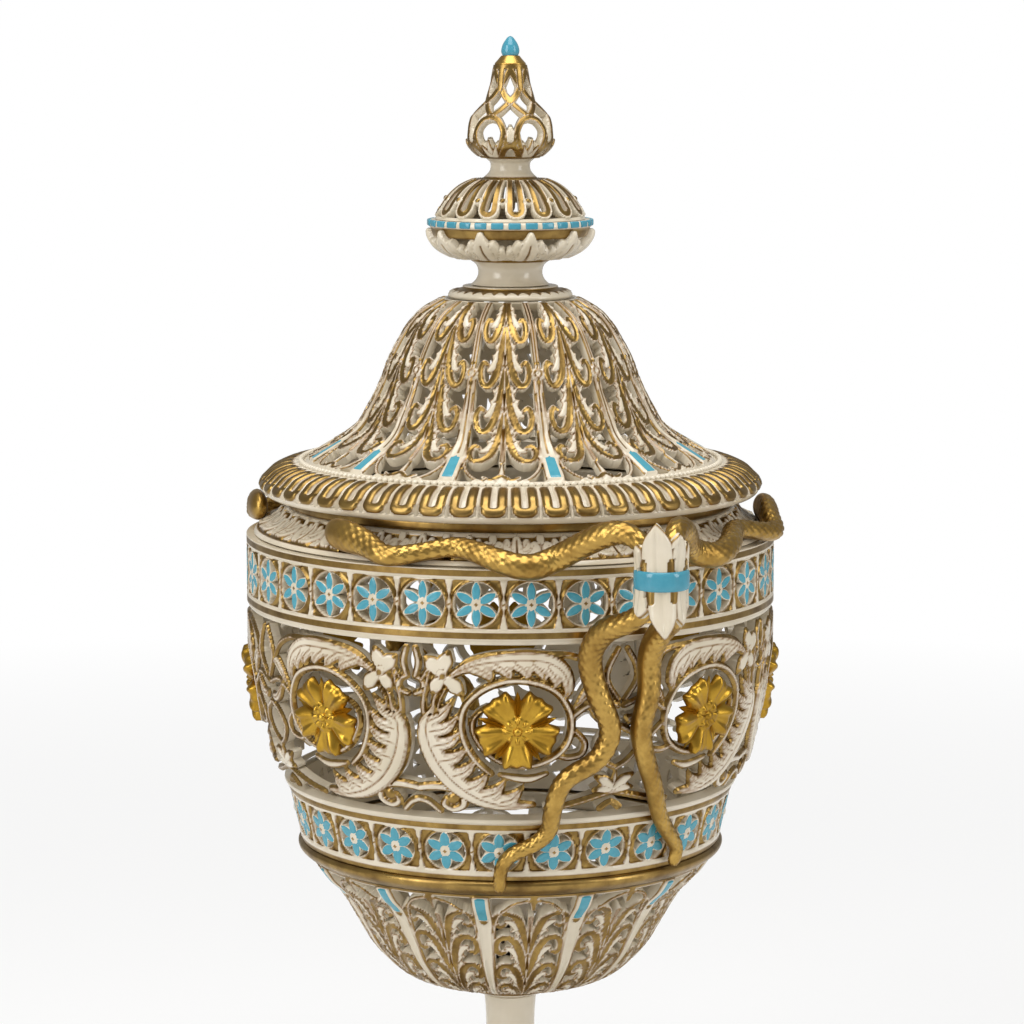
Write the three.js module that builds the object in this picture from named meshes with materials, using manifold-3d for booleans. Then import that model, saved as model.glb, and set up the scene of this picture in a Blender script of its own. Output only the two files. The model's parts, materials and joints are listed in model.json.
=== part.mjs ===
// A reticulated pedestal vase with a lifting cover and two serpent handles.
// Millimetres, +Z up. The origin is the centre of the foot's resting face, and the handles lie on +X and -X.
import * as THREE from "three";
import { mergeVertices } from "three/addons/utils/BufferGeometryUtils.js";
import Module from "manifold-3d";

const wasm = await Module();
wasm.setup();

// Driving dimensions: heights of the stacked pieces, from the resting face up to the cover's seat
const footRimHeight = 7;
const footBellHeight = 31;
const stemRingHeight = 5;
const stemHeight = 34.2;
const bowlRingHeight = 5.4;
const bowlCupHeight = 3.8;
const bowlHeight = 38.6;
const girdleHeight = 5.1;
const lowerBandHeight = 17.7;
const scrollWallHeight = 55.5;
const upperBandHeight = 20.2;
const shoulderHeight = 8.5;
const neckBandHeight = 3.4;

// Driving dimensions: outer radii of the vase, from the foot up
const footRadius = 47.5;
const footBellRadius = 44;
const stemRingRadius = 14;
const stemFootRadius = 10.5;
const stemRadius = 7.4;
const bowlRingRadius = 17;
const bowlBaseRadius = 19;
const bowlCupRadius = 30;
const bowlBellyRadius = 43.8;
const bowlTopRadius = 60.5;
const lowerBandBottomRadius = 63;
const lowerBandTopRadius = 67;
const scrollBottomRadius = 68;
const scrollBellyRadius = 76.8;
const upperBandRadius = 79;
const scrollTopSetback = 0.2;
const ledgeSetback = 1.5;
const neckRadius = 67.4;
const neckBore = 62;

// Driving dimensions: walls, mouldings and running gaps
const wallThickness = 3;
const coverWall = 2.6;
const finialWall = 1.8;
const mouldingProjection = 0.9;
const mouldingHeight = 3.4;
const ledgeHeight = 1.6;
const gap = 0.3;

// Driving dimensions: the cover, measured up from its seat
const flangeDepth = 6.5;
const flangeClearance = 0.8;
const flangeWall = 3.6;
const rimHeight = 9.6;
const rimRadius = 75.3;
const rimEdgeHeight = 4;
const rimTopRadius = 64.5;
const gadroonRise = 1.4;
const ribRise = 1.5;
const domeHeight = 49;
const domeBaseRadius = 62;
const domeShoulderRadius = 35.6;
const collarHeight = 3.8;
const collarRadius = 19.7;
const coverNeckHeight = 8.2;
const coverNeckRadius = 9.5;
const knopFrillHeight = 6.5;
const knopBandHeight = 5.1;
const knopCrownHeight = 12.7;
const knopRadius = 24.6;
const finialNeckHeight = 7.5;
const finialNeckRadius = 5.7;
const pearHeight = 27.2;
const pearRadius = 13;
const pearTopRadius = 4.6;
const finialCapHeight = 2.4;
const budHeight = 4.5;
const budRadius = 2.9;

// Driving dimensions: the bolt that clamps bowl and foot together
const boltRadius = 2.5;
const boltBore = 3.5;
const headHeight = 4;
const headRadius = 5;
const nutHeight = 4.5;
const lockNutHeight = 3.5;
const boltReach = 2;
const washerRadius = 8;
const washerThickness = 1.4;
const corkThickness = 1.2;

// Driving dimensions: handles
const handleReach = 103;
const ferruleRadius = 6.7;
const ferruleWall = 1.2;
const ferruleSleeve = 16;
const ferruleLeaf = 8.5;
const ferruleBandHeight = 6.6;
const ferruleBandWall = 0.9;
const serpentRadius = 3.6;
const serpentHeadHeight = 5.6;
const serpentHeadWidth = 8;
const serpentTailRadius = 1.7;

// Counts and phases of the ornament, in degrees about the vase's axis
const panels = 12;
const panelPhase = -11.5;
const bowlPhase = -2.5;
const roundels = 8;
const upperFlowers = 32;
const upperFlowerPhase = 2.8;
const lowerFlowers = 26;
const lowerFlowerPhase = 0.9;
const petals = 6;
const gadroons = 52;
const knopLoops = 16;
const frillLeaves = 10;
const pearArches = 6;
const bodySegments = 24;
const smallSegments = 12;

// Sizes of the ornament's openings
const flowerRingRadius = 5.6;
const flowerEye = 1.3;
const petalHalfAngle = 13;
const petalsOfRose = 5;
const roseRadius = 12.6;
const roseRise = 3;
const roseBackRadius = 12.8;
const roundelInner = 17.2;
const roundelOuter = 20;

// Radii and levels of the joints between pieces
const scrollTopRadius = upperBandRadius - scrollTopSetback;
const ledgeRadius = upperBandRadius - ledgeSetback;
const footRimTop = footRimHeight;
const footBellTop = footRimTop + footBellHeight;
const stemBottom = footBellTop + stemRingHeight;
const stemTop = stemBottom + stemHeight;
const bowlBottom = stemTop + bowlRingHeight;
const bowlTop = bowlBottom + bowlHeight;
const lowerBandBottom = bowlTop + girdleHeight;
const scrollBottom = lowerBandBottom + lowerBandHeight;
const scrollTop = scrollBottom + scrollWallHeight;
const shoulderBottom = scrollTop + upperBandHeight;
const neckBandBottom = shoulderBottom + shoulderHeight;
const seat = neckBandBottom + neckBandHeight;

// Finishes
const finish = (color, roughness, metalness) =>
  new THREE.MeshStandardMaterial({ color, roughness, metalness });
const ivory = () => finish(0xe3dcc8, 0.22, 0);
const gilt = () => finish(0xb08a3a, 0.34, 1);
const turquoise = () => finish(0x4fb4cc, 0.18, 0);
const steel = () => finish(0x3c3a38, 0.5, 1);
const cork = () => finish(0x9a7448, 0.9, 0);

const vase = new THREE.Group();
const cover = new THREE.Group();
cover.position.z = seat;
vase.add(cover);

function addPiece(group, name, geometry, material) {
  const mesh = new THREE.Mesh(geometry, material);
  mesh.name = name;
  group.add(mesh);
  return mesh;
}

const radians = THREE.MathUtils.degToRad;

const weldDistance = 1e-4;

// A closed geometry as a solid that can be joined or cut
function solid(geometry) {
  const bare = geometry.clone();
  bare.deleteAttribute("normal");
  bare.deleteAttribute("uv");
  const shared = mergeVertices(bare, weldDistance);
  const vertProperties = Float32Array.from(shared.attributes.position.array);
  const triVerts = Uint32Array.from(shared.index.array);
  return new wasm.Manifold(new wasm.Mesh({ numProp: 3, vertProperties, triVerts }));
}

function meshOf(manifold) {
  const { vertProperties, triVerts } = manifold.getMesh();
  const geometry = new THREE.BufferGeometry();
  geometry.setAttribute("position", new THREE.BufferAttribute(vertProperties, 3));
  geometry.setIndex(new THREE.BufferAttribute(triVerts, 1));
  geometry.computeVertexNormals();
  return geometry;
}

// A ring turned about the axis: its outline runs up the outer side, as [radius, height] points
function turned(outline, segments = bodySegments) {
  const points = [...outline, outline[0]].map(([r, z]) => new THREE.Vector2(r, z));
  return new THREE.LatheGeometry(points, segments, Math.PI / 2).rotateX(Math.PI / 2);
}

// On a flat slope a level cut through the wall would be much wider than the wall is thick
const leastSteepness = 0.4;

// The outer line of a turned wall: a smooth curve through a few points, measured along its length
class WallLine {
  constructor(points) {
    this.curve = new THREE.SplineCurve(points.map(([r, z]) => new THREE.Vector2(r, z)));
    this.length = this.curve.getLength();
  }

  // The point at a distance along the line, moved off it by an amount, outwards if positive
  off(along, amount) {
    const u = THREE.MathUtils.clamp(along / this.length, 0, 1);
    const point = this.curve.getPointAt(u);
    const tangent = this.curve.getTangentAt(u);
    return [point.x + tangent.y * amount, point.y - tangent.x * amount];
  }

  // An end of the inner line, level with the end of the outer one
  innerEnd(along, thickness) {
    const u = along / this.length;
    const point = this.curve.getPointAt(u);
    const steepness = Math.max(this.curve.getTangentAt(u).y, leastSteepness);
    return [point.x - thickness / steepness, point.y];
  }
}

// A wall made of one panel repeated round the axis. The panel is laid out flat, as an outline with its
// openings, and bent onto the wall's line. Flat points are [x, along]: x runs from -1 to 1 across the panel,
// and along is the distance up the line. Lips are [radius, height] points that lead from the outer to the
// inner side at the bottom and the top edge. Ribs is how far the seams between the panels stand out.
function panelledWall(line, thickness, count, phase, openings, details = {}) {
  const { rows = 1, columns = 1, lipBelow = [], lipAbove = [], ribs = 0 } = details;
  const innerBottom = details.innerBottom ?? line.innerEnd(0, thickness);
  const innerTop = details.innerTop ?? line.innerEnd(line.length, thickness);
  const half = 180 / count;
  const seam = (i) => phase + (i % count) * 2 * half;
  const spin = ([r, z], azimuth) => [r * Math.cos(radians(azimuth)), r * Math.sin(radians(azimuth)), z];
  const heights = [...Array.from({ length: rows }, (_, i) => (i * line.length) / rows), line.length];
  const steps = Array.from({ length: columns - 1 }, (_, i) => -1 + (2 * (i + 1)) / columns);
  const contour = [
    ...heights.map((along) => [1, along]),
    ...steps.toReversed().map((x) => [x, line.length]),
    ...heights.toReversed().map((along) => [-1, along]),
    ...steps.map((x) => [x, 0]),
  ];
  const [meanRadius] = line.off(line.length / 2, 0);
  // The panel's edges bulge a little while it lies flat, so that no three of its points are in one line
  const bulge = 0.02;
  const flat = (shape) => shape.map(([x, along]) => {
    const share = (2 * along) / line.length - 1;
    const across = x * meanRadius * radians(half) * (1 + bulge * (1 - share * share));
    return new THREE.Vector2(across, along + bulge * line.length * share * (1 - x * x));
  });
  const position = [];
  const face = (first, ...others) => {
    for (let i = 1; i < others.length; i++) position.push(...first, ...others[i - 1], ...others[i]);
  };
  for (let i = 0; i < count; i++) {
    const azimuthOf = (x) => (x === -1 ? seam(i) : x === 1 ? seam(i + 1) : phase + (2 * i + 1 + x) * half);
    const outer = ([x, along]) => {
      const onRib = Math.abs(x) === 1 && along > 0 && along < line.length;
      return spin(line.off(along, onRib ? ribs : 0), azimuthOf(x));
    };
    const inner = ([x, along]) => {
      const end = along === 0 ? innerBottom : along === line.length ? innerTop : null;
      return spin(end ?? line.off(along, -thickness), azimuthOf(x));
    };
    const holes = openings(i).map((shape) =>
      THREE.ShapeUtils.isClockWise(flat(shape)) ? shape : shape.toReversed());
    const points = [...contour, ...holes.flat()];
    for (const [a, b, c] of THREE.ShapeUtils.triangulateShape(flat(contour), holes.map(flat))) {
      face(outer(points[a]), outer(points[b]), outer(points[c]));
      face(inner(points[a]), inner(points[c]), inner(points[b]));
    }
    const side = (a, b, lip) => {
      const from = [outer(a), ...lip.map((p) => spin(p, azimuthOf(a[0]))), inner(a)];
      const to = [outer(b), ...lip.map((p) => spin(p, azimuthOf(b[0]))), inner(b)];
      for (let k = 0; k < from.length - 1; k++) face(from[k], from[k + 1], to[k + 1], to[k]);
    };
    for (const hole of holes) hole.forEach((a, k) => side(a, hole[(k + 1) % hole.length], []));
    contour.forEach((a, k) => {
      const b = contour[(k + 1) % contour.length];
      if (a[1] === b[1]) side(a, b, a[1] === 0 ? lipBelow : lipAbove);
    });
  }
  const geometry = new THREE.BufferGeometry();
  geometry.setAttribute("position", new THREE.Float32BufferAttribute(position, 3));
  const shared = mergeVertices(geometry, weldDistance);
  shared.computeVertexNormals();
  return shared;
}

// An outline drawn flat in millimetres about a centre on a wall, for a panel of a wall with that many
function inMillimetres(line, count, along, shape, mirror = 1) {
  const halfWidth = (line.off(along, 0)[0] * Math.PI) / count;
  return shape.map(([x, y]) => [(mirror * x) / halfWidth, along + y]);
}

// An outline drawn with heights from 0 to 1 up the wall
function inShares(line, shape, mirror = 1) {
  return shape.map(([x, share]) => [mirror * x, share * line.length]);
}

const polar = (radius, degrees) => [
  radius * Math.cos(radians(degrees)),
  radius * Math.sin(radians(degrees)),
];
const repeat = (count, make) => Array.from({ length: count }, (_, i) => make(i)).flat();

// A flower in a ring: the gaps between its petals
function flowerGaps(line, flowers) {
  const spread = 180 / petals - petalHalfAngle;
  return repeat(petals, (i) => {
    const middle = (360 / petals) * (i + 0.5);
    const gapShape = [
      polar(flowerEye, middle),
      polar(flowerRingRadius, middle - spread),
      polar(flowerRingRadius, middle + spread),
    ];
    return [inMillimetres(line, flowers, line.length / 2, gapShape)];
  });
}

// A plain round window, where the flower in the ring is finer work than the solid holds
function flowerWindow(line, flowers) {
  const ring = Array.from({ length: petals }, (_, i) => polar(flowerRingRadius, (360 / petals) * i));
  return [inMillimetres(line, flowers, line.length / 2, ring)];
}

// A flower band between two gold mouldings, with one ring to each panel
function flowerBand(bottomRadius, topRadius, bottom, height, flowers, phase, ringOpenings) {
  const top = bottom + height;
  const at = (z) => THREE.MathUtils.mapLinear(z, bottom, top, bottomRadius, topRadius);
  const lower = bottom + mouldingHeight;
  const upper = top - mouldingHeight;
  const proud = mouldingProjection;
  const line = new WallLine([[at(lower), lower], [at(upper), upper]]);
  const openings = () => ringOpenings(line, flowers);
  return panelledWall(line, wallThickness, flowers, phase - 180 / flowers, openings, {
    lipBelow: [[at(lower) + proud, lower - proud], [at(bottom) + proud, bottom]],
    lipAbove: [[at(upper) + proud, upper + proud], [at(top) + proud, top]],
    innerBottom: [at(bottom) - wallThickness, bottom],
    innerTop: [at(top) - wallThickness, top],
  });
}

// Foot: a rim that rests flat, a pierced bell, and the ring that carries the stem
function makeFoot() {
  const rimWall = 7.5;
  const edge = 1.5;
  const rim = [
    [footRadius - rimWall, 0],
    [footRadius - edge, 0],
    [footRadius, edge],
    [footRadius, footRimTop - 2 * edge],
    [footBellRadius + edge, footRimTop],
    [footRadius - rimWall, footRimTop],
  ];
  addPiece(vase, "foot_rim", turned(rim), ivory());

  const throat = stemRingRadius - 1;
  const bell = new WallLine([
    [footBellRadius, footRimTop],
    [THREE.MathUtils.lerp(footBellRadius, throat, 0.45), footRimTop + 0.2 * footBellHeight],
    [THREE.MathUtils.lerp(footBellRadius, throat, 0.8), footRimTop + 0.5 * footBellHeight],
    [throat, footBellTop],
  ]);
  const arch = [[-0.6, 0.12], [0.6, 0.12], [0.6, 0.46], [0, 0.66], [-0.6, 0.46]];
  const wall = panelledWall(bell, wallThickness, panels, bowlPhase, () => [inShares(bell, arch)], {
    rows: 3,
    columns: 2,
  });
  addPiece(vase, "foot_bell", wall, ivory());

  const shoulder = 1.6;
  const ring = [
    [boltBore, footBellTop],
    [stemRingRadius - shoulder, footBellTop],
    [stemRingRadius, footBellTop + shoulder],
    [stemRingRadius, stemBottom - shoulder],
    [stemFootRadius, stemBottom],
    [boltBore, stemBottom],
  ];
  addPiece(vase, "stem_ring", turned(ring, smallSegments), gilt());
}

function makeStem() {
  const line = new WallLine([
    [stemFootRadius, stemBottom],
    [stemRadius + 0.6, stemBottom + 0.25 * stemHeight],
    [stemRadius, stemBottom + 0.7 * stemHeight],
    [stemRadius + 0.8, stemTop],
  ]);
  const outer = [0, 0.2, 0.45, 0.8, 1].map((u) => line.off(u * line.length, 0));
  const outline = [[boltBore, stemBottom], ...outer, [boltBore, stemTop]];
  addPiece(vase, "stem", turned(outline, smallSegments), ivory());

  const step = bowlRingHeight / 3;
  const ring = [
    [boltBore, stemTop],
    [bowlRingRadius - 2 * step, stemTop],
    [bowlRingRadius - step, stemTop + step],
    [bowlRingRadius, stemTop + 2 * step],
    [bowlRingRadius, bowlBottom],
    [boltBore, bowlBottom],
  ];
  addPiece(vase, "bowl_ring", turned(ring, smallSegments), gilt());
}

// Lower bowl: a cup that the bolt passes through, and above it panels of leaf gaps between ribs
function makeLowerBowl() {
  const cupTop = bowlBottom + bowlCupHeight;
  const floor = bowlBottom + wallThickness;
  const line = new WallLine([
    [bowlCupRadius, cupTop],
    [THREE.MathUtils.lerp(bowlBaseRadius, bowlBellyRadius, 0.78), bowlBottom + 0.2 * bowlHeight],
    [bowlBellyRadius, bowlBottom + 0.4 * bowlHeight],
    [THREE.MathUtils.lerp(bowlBellyRadius, bowlTopRadius, 0.5), bowlBottom + 0.75 * bowlHeight],
    [bowlTopRadius, bowlTop],
  ]);
  const cup = [
    [boltBore, bowlBottom],
    [bowlBaseRadius, bowlBottom],
    [bowlCupRadius, cupTop],
    line.innerEnd(0, wallThickness),
    [bowlBaseRadius, floor],
    [boltBore, floor],
  ];
  addPiece(vase, "bowl_cup", turned(cup), ivory());

  const gaps = [
    [[0.12, 0.08], [0.55, 0.18], [0.6, 0.35], [0.12, 0.26]],
    [[0.12, 0.38], [0.6, 0.48], [0.72, 0.73], [0.12, 0.62]],
  ];
  const openings = () => gaps.flatMap((shape) => [-1, 1].map((side) => inShares(line, shape, side)));
  const bowl = panelledWall(line, wallThickness, panels, bowlPhase, openings, { rows: 3, columns: 2 });
  addPiece(vase, "lower_bowl", bowl, ivory());

  const girdle = [
    [bowlTopRadius - wallThickness, bowlTop],
    [bowlTopRadius + mouldingProjection, bowlTop],
    [lowerBandBottomRadius + mouldingProjection, lowerBandBottom],
    [lowerBandBottomRadius - wallThickness, lowerBandBottom],
  ];
  addPiece(vase, "bowl_girdle", turned(girdle), gilt());
}

function makeLowerBand() {
  const band = flowerBand(
    lowerBandBottomRadius, lowerBandTopRadius, lowerBandBottom, lowerBandHeight,
    lowerFlowers, lowerFlowerPhase, flowerWindow,
  );
  addPiece(vase, "lower_flower_band", band, ivory());
}

// Scroll wall: roundels, each with a ring stem, mirrored in pairs about the handles
const scrollLine = new WallLine([
  [scrollBottomRadius, scrollBottom],
  [THREE.MathUtils.lerp(scrollBottomRadius, scrollBellyRadius, 0.6), scrollBottom + 0.28 * scrollWallHeight],
  [scrollBellyRadius, scrollBottom + 0.54 * scrollWallHeight],
  [scrollTopRadius, scrollTop],
]);
const roundelAlong = 0.54 * scrollLine.length;

function scrollGaps(mirror) {
  const ringGap = (from, to) => [
    polar(roseBackRadius, from + 4),
    polar(roundelInner, from),
    polar(roundelInner, to),
    polar(roseBackRadius, to - 4),
  ];
  const half = (Math.PI * scrollBellyRadius) / roundels;
  const up = scrollLine.length - roundelAlong;
  const margin = 3.2;
  const inset = 14;
  const corner = (from, to, x, y) => [polar(roundelOuter, from), [x, y], polar(roundelOuter, to)];
  const shapes = [
    ...repeat(petalsOfRose, (i) => [ringGap(i * 72 + 8, i * 72 + 64)]),
    corner(128, 108, -half + inset, up - margin),
    corner(160, 134, -half + margin, up - 3 * margin),
    corner(74, 52, half - inset, up - margin),
    corner(46, 22, half - margin, up - 2 * margin),
    corner(-22, -42, half - margin, -roundelAlong + inset),
    corner(-48, -66, half - inset, -roundelAlong + margin),
    corner(-112, -130, -half + inset, -roundelAlong + margin),
    corner(-136, -158, -half + margin, -roundelAlong + inset),
  ];
  return shapes.map((shape) => inMillimetres(scrollLine, roundels, roundelAlong, shape, mirror));
}

function makeScrollWall() {
  const openings = (i) => scrollGaps(i % 2 ? -1 : 1);
  const wall = panelledWall(scrollLine, wallThickness, roundels, 0, openings, { rows: 3, columns: 4 });
  addPiece(vase, "scroll_wall", wall, ivory());
}

// A rose in relief, bent to the scroll wall: petals that rise from their notches to a crest, and a raised eye
function roseGeometry() {
  const [wallRadius] = scrollLine.off(roundelAlong, 0);
  const onWall = ([x, y], rise) => {
    const [r, z] = scrollLine.off(roundelAlong + y, gap + rise);
    return [...polar(r, THREE.MathUtils.radToDeg(x / wallRadius)), z];
  };
  const steps = 2 * petalsOfRose;
  const rings = [
    { tip: roseRadius, notch: roseRadius * 0.78, rise: 0 },
    { tip: roseRadius * 0.82, notch: roseRadius * 0.5, rise: roseRise },
    { tip: roseRadius * 0.25, notch: roseRadius * 0.25, rise: roseRise * 0.6 },
  ];
  const body = rings.map(({ tip, notch, rise }) =>
    repeat(steps, (i) => [onWall(polar(i % 2 ? notch : tip, (i * 360) / steps - 90), rise)]));
  return closedRings(onWall([0, 0], 0), body, onWall([0, 0], roseRise * 1.2));
}

// A closed body from an apex, rings of points that all have the same count, and a second apex
function closedRings(start, rings, end) {
  const sides = rings[0].length;
  const last = rings.length - 1;
  const finish = 1 + rings.length * sides;
  const at = (ring, k) => 1 + ring * sides + (k % sides);
  const index = [];
  for (let k = 0; k < sides; k++) {
    index.push(0, at(0, k + 1), at(0, k));
    for (let ring = 0; ring < last; ring++) {
      index.push(at(ring, k), at(ring, k + 1), at(ring + 1, k));
      index.push(at(ring + 1, k), at(ring, k + 1), at(ring + 1, k + 1));
    }
    index.push(at(last, k), at(last, k + 1), finish);
  }
  const geometry = new THREE.BufferGeometry();
  const position = [...start, ...rings.flat(2), ...end];
  geometry.setAttribute("position", new THREE.Float32BufferAttribute(position, 3));
  geometry.setIndex(index);
  geometry.computeVertexNormals();
  return geometry;
}

function makeRoses() {
  for (let i = 0; i < roundels; i++) {
    const rose = addPiece(vase, `rose_${i + 1}`, roseGeometry(), gilt());
    rose.rotation.z = radians((i + 0.5) * (360 / roundels));
  }
}

function makeUpperBand() {
  const band = flowerBand(
    upperBandRadius, upperBandRadius, scrollTop, upperBandHeight,
    upperFlowers, upperFlowerPhase, flowerGaps,
  );
  addPiece(vase, "upper_flower_band", band, ivory());
}

// Shoulder: a ledge, a hollow that is moulded with leaves, and the gold neck band above it
const shoulderLine = [
  [ledgeRadius, shoulderBottom],
  [ledgeRadius, shoulderBottom + ledgeHeight],
  [THREE.MathUtils.lerp(ledgeRadius, neckRadius, 0.45), shoulderBottom + 0.4 * shoulderHeight],
  [THREE.MathUtils.lerp(ledgeRadius, neckRadius, 0.85), shoulderBottom + 0.7 * shoulderHeight],
  [neckRadius, neckBandBottom],
];

function makeShoulder() {
  const inner = [
    [neckRadius - wallThickness, neckBandBottom],
    [ledgeRadius - wallThickness - ledgeHeight, shoulderBottom + ledgeHeight],
    [ledgeRadius - wallThickness, shoulderBottom],
  ];
  addPiece(vase, "shoulder", turned([...shoulderLine, ...inner]), ivory());

  const band = [
    [neckBore, neckBandBottom],
    [neckRadius, neckBandBottom],
    [neckRadius, seat],
    [neckBore, seat],
  ];
  addPiece(vase, "neck_band", turned(band), gilt());
}

// Bolt through the stem, with cork against the glaze at both ends
function makeBolt() {
  const bore = boltRadius + gap;
  const addWasher = (name, bottom, thickness, material) => {
    const top = bottom + thickness;
    const outline = [[bore, bottom], [washerRadius, bottom], [washerRadius, top], [bore, top]];
    addPiece(vase, name, turned(outline, smallSegments), material);
  };
  const lowerCork = footBellTop - corkThickness;
  const lowerWasher = lowerCork - washerThickness;
  const upperCork = bowlBottom + wallThickness;
  const upperWasher = upperCork + corkThickness;
  const nutBottom = upperWasher + washerThickness;
  const lockNutBottom = nutBottom + nutHeight;
  const boltTop = lockNutBottom + lockNutHeight + boltReach;
  addWasher("lower_cork_washer", lowerCork, corkThickness, cork());
  addWasher("lower_steel_washer", lowerWasher, washerThickness, steel());
  addWasher("upper_cork_washer", upperCork, corkThickness, cork());
  addWasher("upper_steel_washer", upperWasher, washerThickness, steel());

  const head = new THREE.CylinderGeometry(headRadius, headRadius, headHeight, 6).rotateX(Math.PI / 2);
  head.translate(0, 0, lowerWasher - headHeight / 2);
  const shankLength = boltTop - lowerWasher + headHeight / 2;
  const shank = new THREE.CylinderGeometry(boltRadius, boltRadius, shankLength, 12).rotateX(Math.PI / 2);
  shank.translate(0, 0, boltTop - shankLength / 2);
  addPiece(vase, "tie_bolt", meshOf(solid(head).add(solid(shank))), steel());

  // A hexagonal bore clears a round shank at the middle of its flats
  const nutBore = bore / Math.cos(Math.PI / 6);
  const nut = (bottom, height) => {
    const top = bottom + height;
    return turned([[nutBore, bottom], [headRadius, bottom], [headRadius, top], [nutBore, top]], 6);
  };
  addPiece(vase, "clamp_nut", nut(nutBottom, nutHeight), steel());
  addPiece(vase, "lock_nut", nut(lockNutBottom, lockNutHeight), steel());
}

// Outer line of the vase where the serpents lie on it
const outerLine = [
  [bowlTopRadius + mouldingProjection, bowlTop],
  [lowerBandBottomRadius + mouldingProjection, lowerBandBottom],
  [lowerBandTopRadius + mouldingProjection, scrollBottom],
  ...Array.from({ length: 9 }, (_, i) => scrollLine.off((i * scrollLine.length) / 8, 0)),
  [upperBandRadius + mouldingProjection, scrollTop],
  [upperBandRadius + mouldingProjection, shoulderBottom],
  ...shoulderLine,
  [neckRadius, seat],
];

// The radius at which a body just clears that line at a height. Its section is an ellipse, measured from its
// middle: thickness is how far it reaches outwards, and width how far it reaches up and down.
function restingRadius(height, thickness, width) {
  const clear = thickness + 2 * gap;
  const reach = width + 2 * gap;
  let radius = 0;
  for (let i = 0; i < outerLine.length - 1; i++) {
    const a = new THREE.Vector2(...outerLine[i]);
    const b = new THREE.Vector2(...outerLine[i + 1]);
    for (let u = 0; u <= 1; u += 0.1) {
      const p = a.clone().lerp(b, u);
      const rise = Math.abs(p.y - height) / reach;
      if (rise < 1) radius = Math.max(radius, p.x + clear * Math.sqrt(1 - rise * rise));
    }
  }
  return radius;
}

// The ferrule holds both serpents side by side in its bore
const ferruleLevel = shoulderBottom - gap;
const ferruleBore = ferruleRadius - ferruleWall;
const waistRadius = ferruleBore / 2 - gap;
const waistOffset = waistRadius + gap / 2;

// Where a serpent lies on the vase, head first: [azimuth, height above the foot of the shoulder], with the
// height as a share of the shoulder's for the neck and of the walls' for the tails
const neckRoute = [
  [-66, 0.835], [-60, 0.835], [-54.5, 0.65], [-49.5, 0.34], [-42, 0.518], [-35, 0.682], [-28, 0.424],
  [-20.7, 0.118], [-14.5, 0.424],
];
const leftTailRoute = [
  [-8.4, -0.254], [-6, -0.376], [-3, -0.477], [-5.6, -0.569], [-12.6, -0.624], [-14.6, -0.731],
  [-19, -0.812], [-25.5, -0.873], [-26.6, -0.954],
];
const rightTailRoute = [
  [4.6, -0.254], [5, -0.376], [3.6, -0.477], [6, -0.579], [9.5, -0.67], [13.5, -0.772],
  [19, -0.848], [22, -0.893], [21.5, -0.944],
];

// A serpent: a round body with a broad flat head, which narrows in the ferrule and thins to its tail
function serpentGeometry(side) {
  const onVase = (azimuth, height, thickness, width = thickness) => {
    return { at: [...polar(restingRadius(height, thickness, width), azimuth), height], thickness, width };
  };
  const free = (inward, across, rise, thickness) =>
    ({ at: [handleReach - inward, side * across, ferruleLevel + rise], thickness, width: thickness });
  const headThickness = serpentHeadHeight / 2;
  const headWidth = serpentHeadWidth / 2;
  const headSections = [
    [0.9 * headThickness, 0.85 * headWidth],
    [headThickness, headWidth],
    [(headThickness + serpentRadius) / 2, (headWidth + serpentRadius) / 2],
  ];
  const tail = side < 0 ? leftTailRoute : rightTailRoute;
  const half = ferruleSleeve / 2;
  const neck = neckRoute.map(([azimuth, rise], i) =>
    onVase(-side * azimuth, shoulderBottom + rise * shoulderHeight, ...(headSections[i] ?? [serpentRadius])));
  const stations = [
    ...neck,
    free(13, 13.5, half + 2.5, serpentRadius),
    free(6.5, 8, half + 4.5, serpentRadius * 0.85),
    free(0.5, waistOffset + gap / 2, half - 1, waistRadius * 0.95),
    free(0, waistOffset, 0, waistRadius),
    free(0.5, waistOffset + gap / 2, 1 - half, waistRadius * 0.95),
    free(6.5, 7, -half - 5, serpentRadius * 0.85),
    free(14, side < 0 ? 10.5 : 8, -half - 8, serpentRadius),
    ...tail.map(([azimuth, rise], i) => onVase(
      azimuth,
      shoulderBottom + rise * (shoulderBottom - bowlTop),
      THREE.MathUtils.lerp(serpentRadius, serpentTailRadius, (i + 1) / tail.length),
    )),
  ];
  const curve = new THREE.CatmullRomCurve3(stations.map(({ at }) => new THREE.Vector3(...at)));
  const steps = Math.round(1.2 * stations.length);
  const sides = 5;
  const rings = [];
  for (let i = 1; i < steps; i++) {
    const t = i / steps;
    const place = t * (stations.length - 1);
    const before = Math.floor(place);
    const [thickness, width] = ["thickness", "width"].map((size) =>
      THREE.MathUtils.lerp(stations[before][size], stations[before + 1][size], place - before));
    const centre = curve.getPoint(t);
    const tangent = curve.getTangent(t);
    const outward = new THREE.Vector3(centre.x, centre.y, 0).normalize();
    const across = new THREE.Vector3().crossVectors(tangent, outward).normalize();
    const up = new THREE.Vector3().crossVectors(across, tangent);
    rings.push(Array.from({ length: sides }, (_, k) => {
      const [a, b] = polar(1, (k * 360) / sides);
      return centre.clone().addScaledVector(up, a * thickness).addScaledVector(across, b * width).toArray();
    }));
  }
  return closedRings(curve.getPoint(0).toArray(), rings, curve.getPoint(1).toArray());
}

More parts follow.
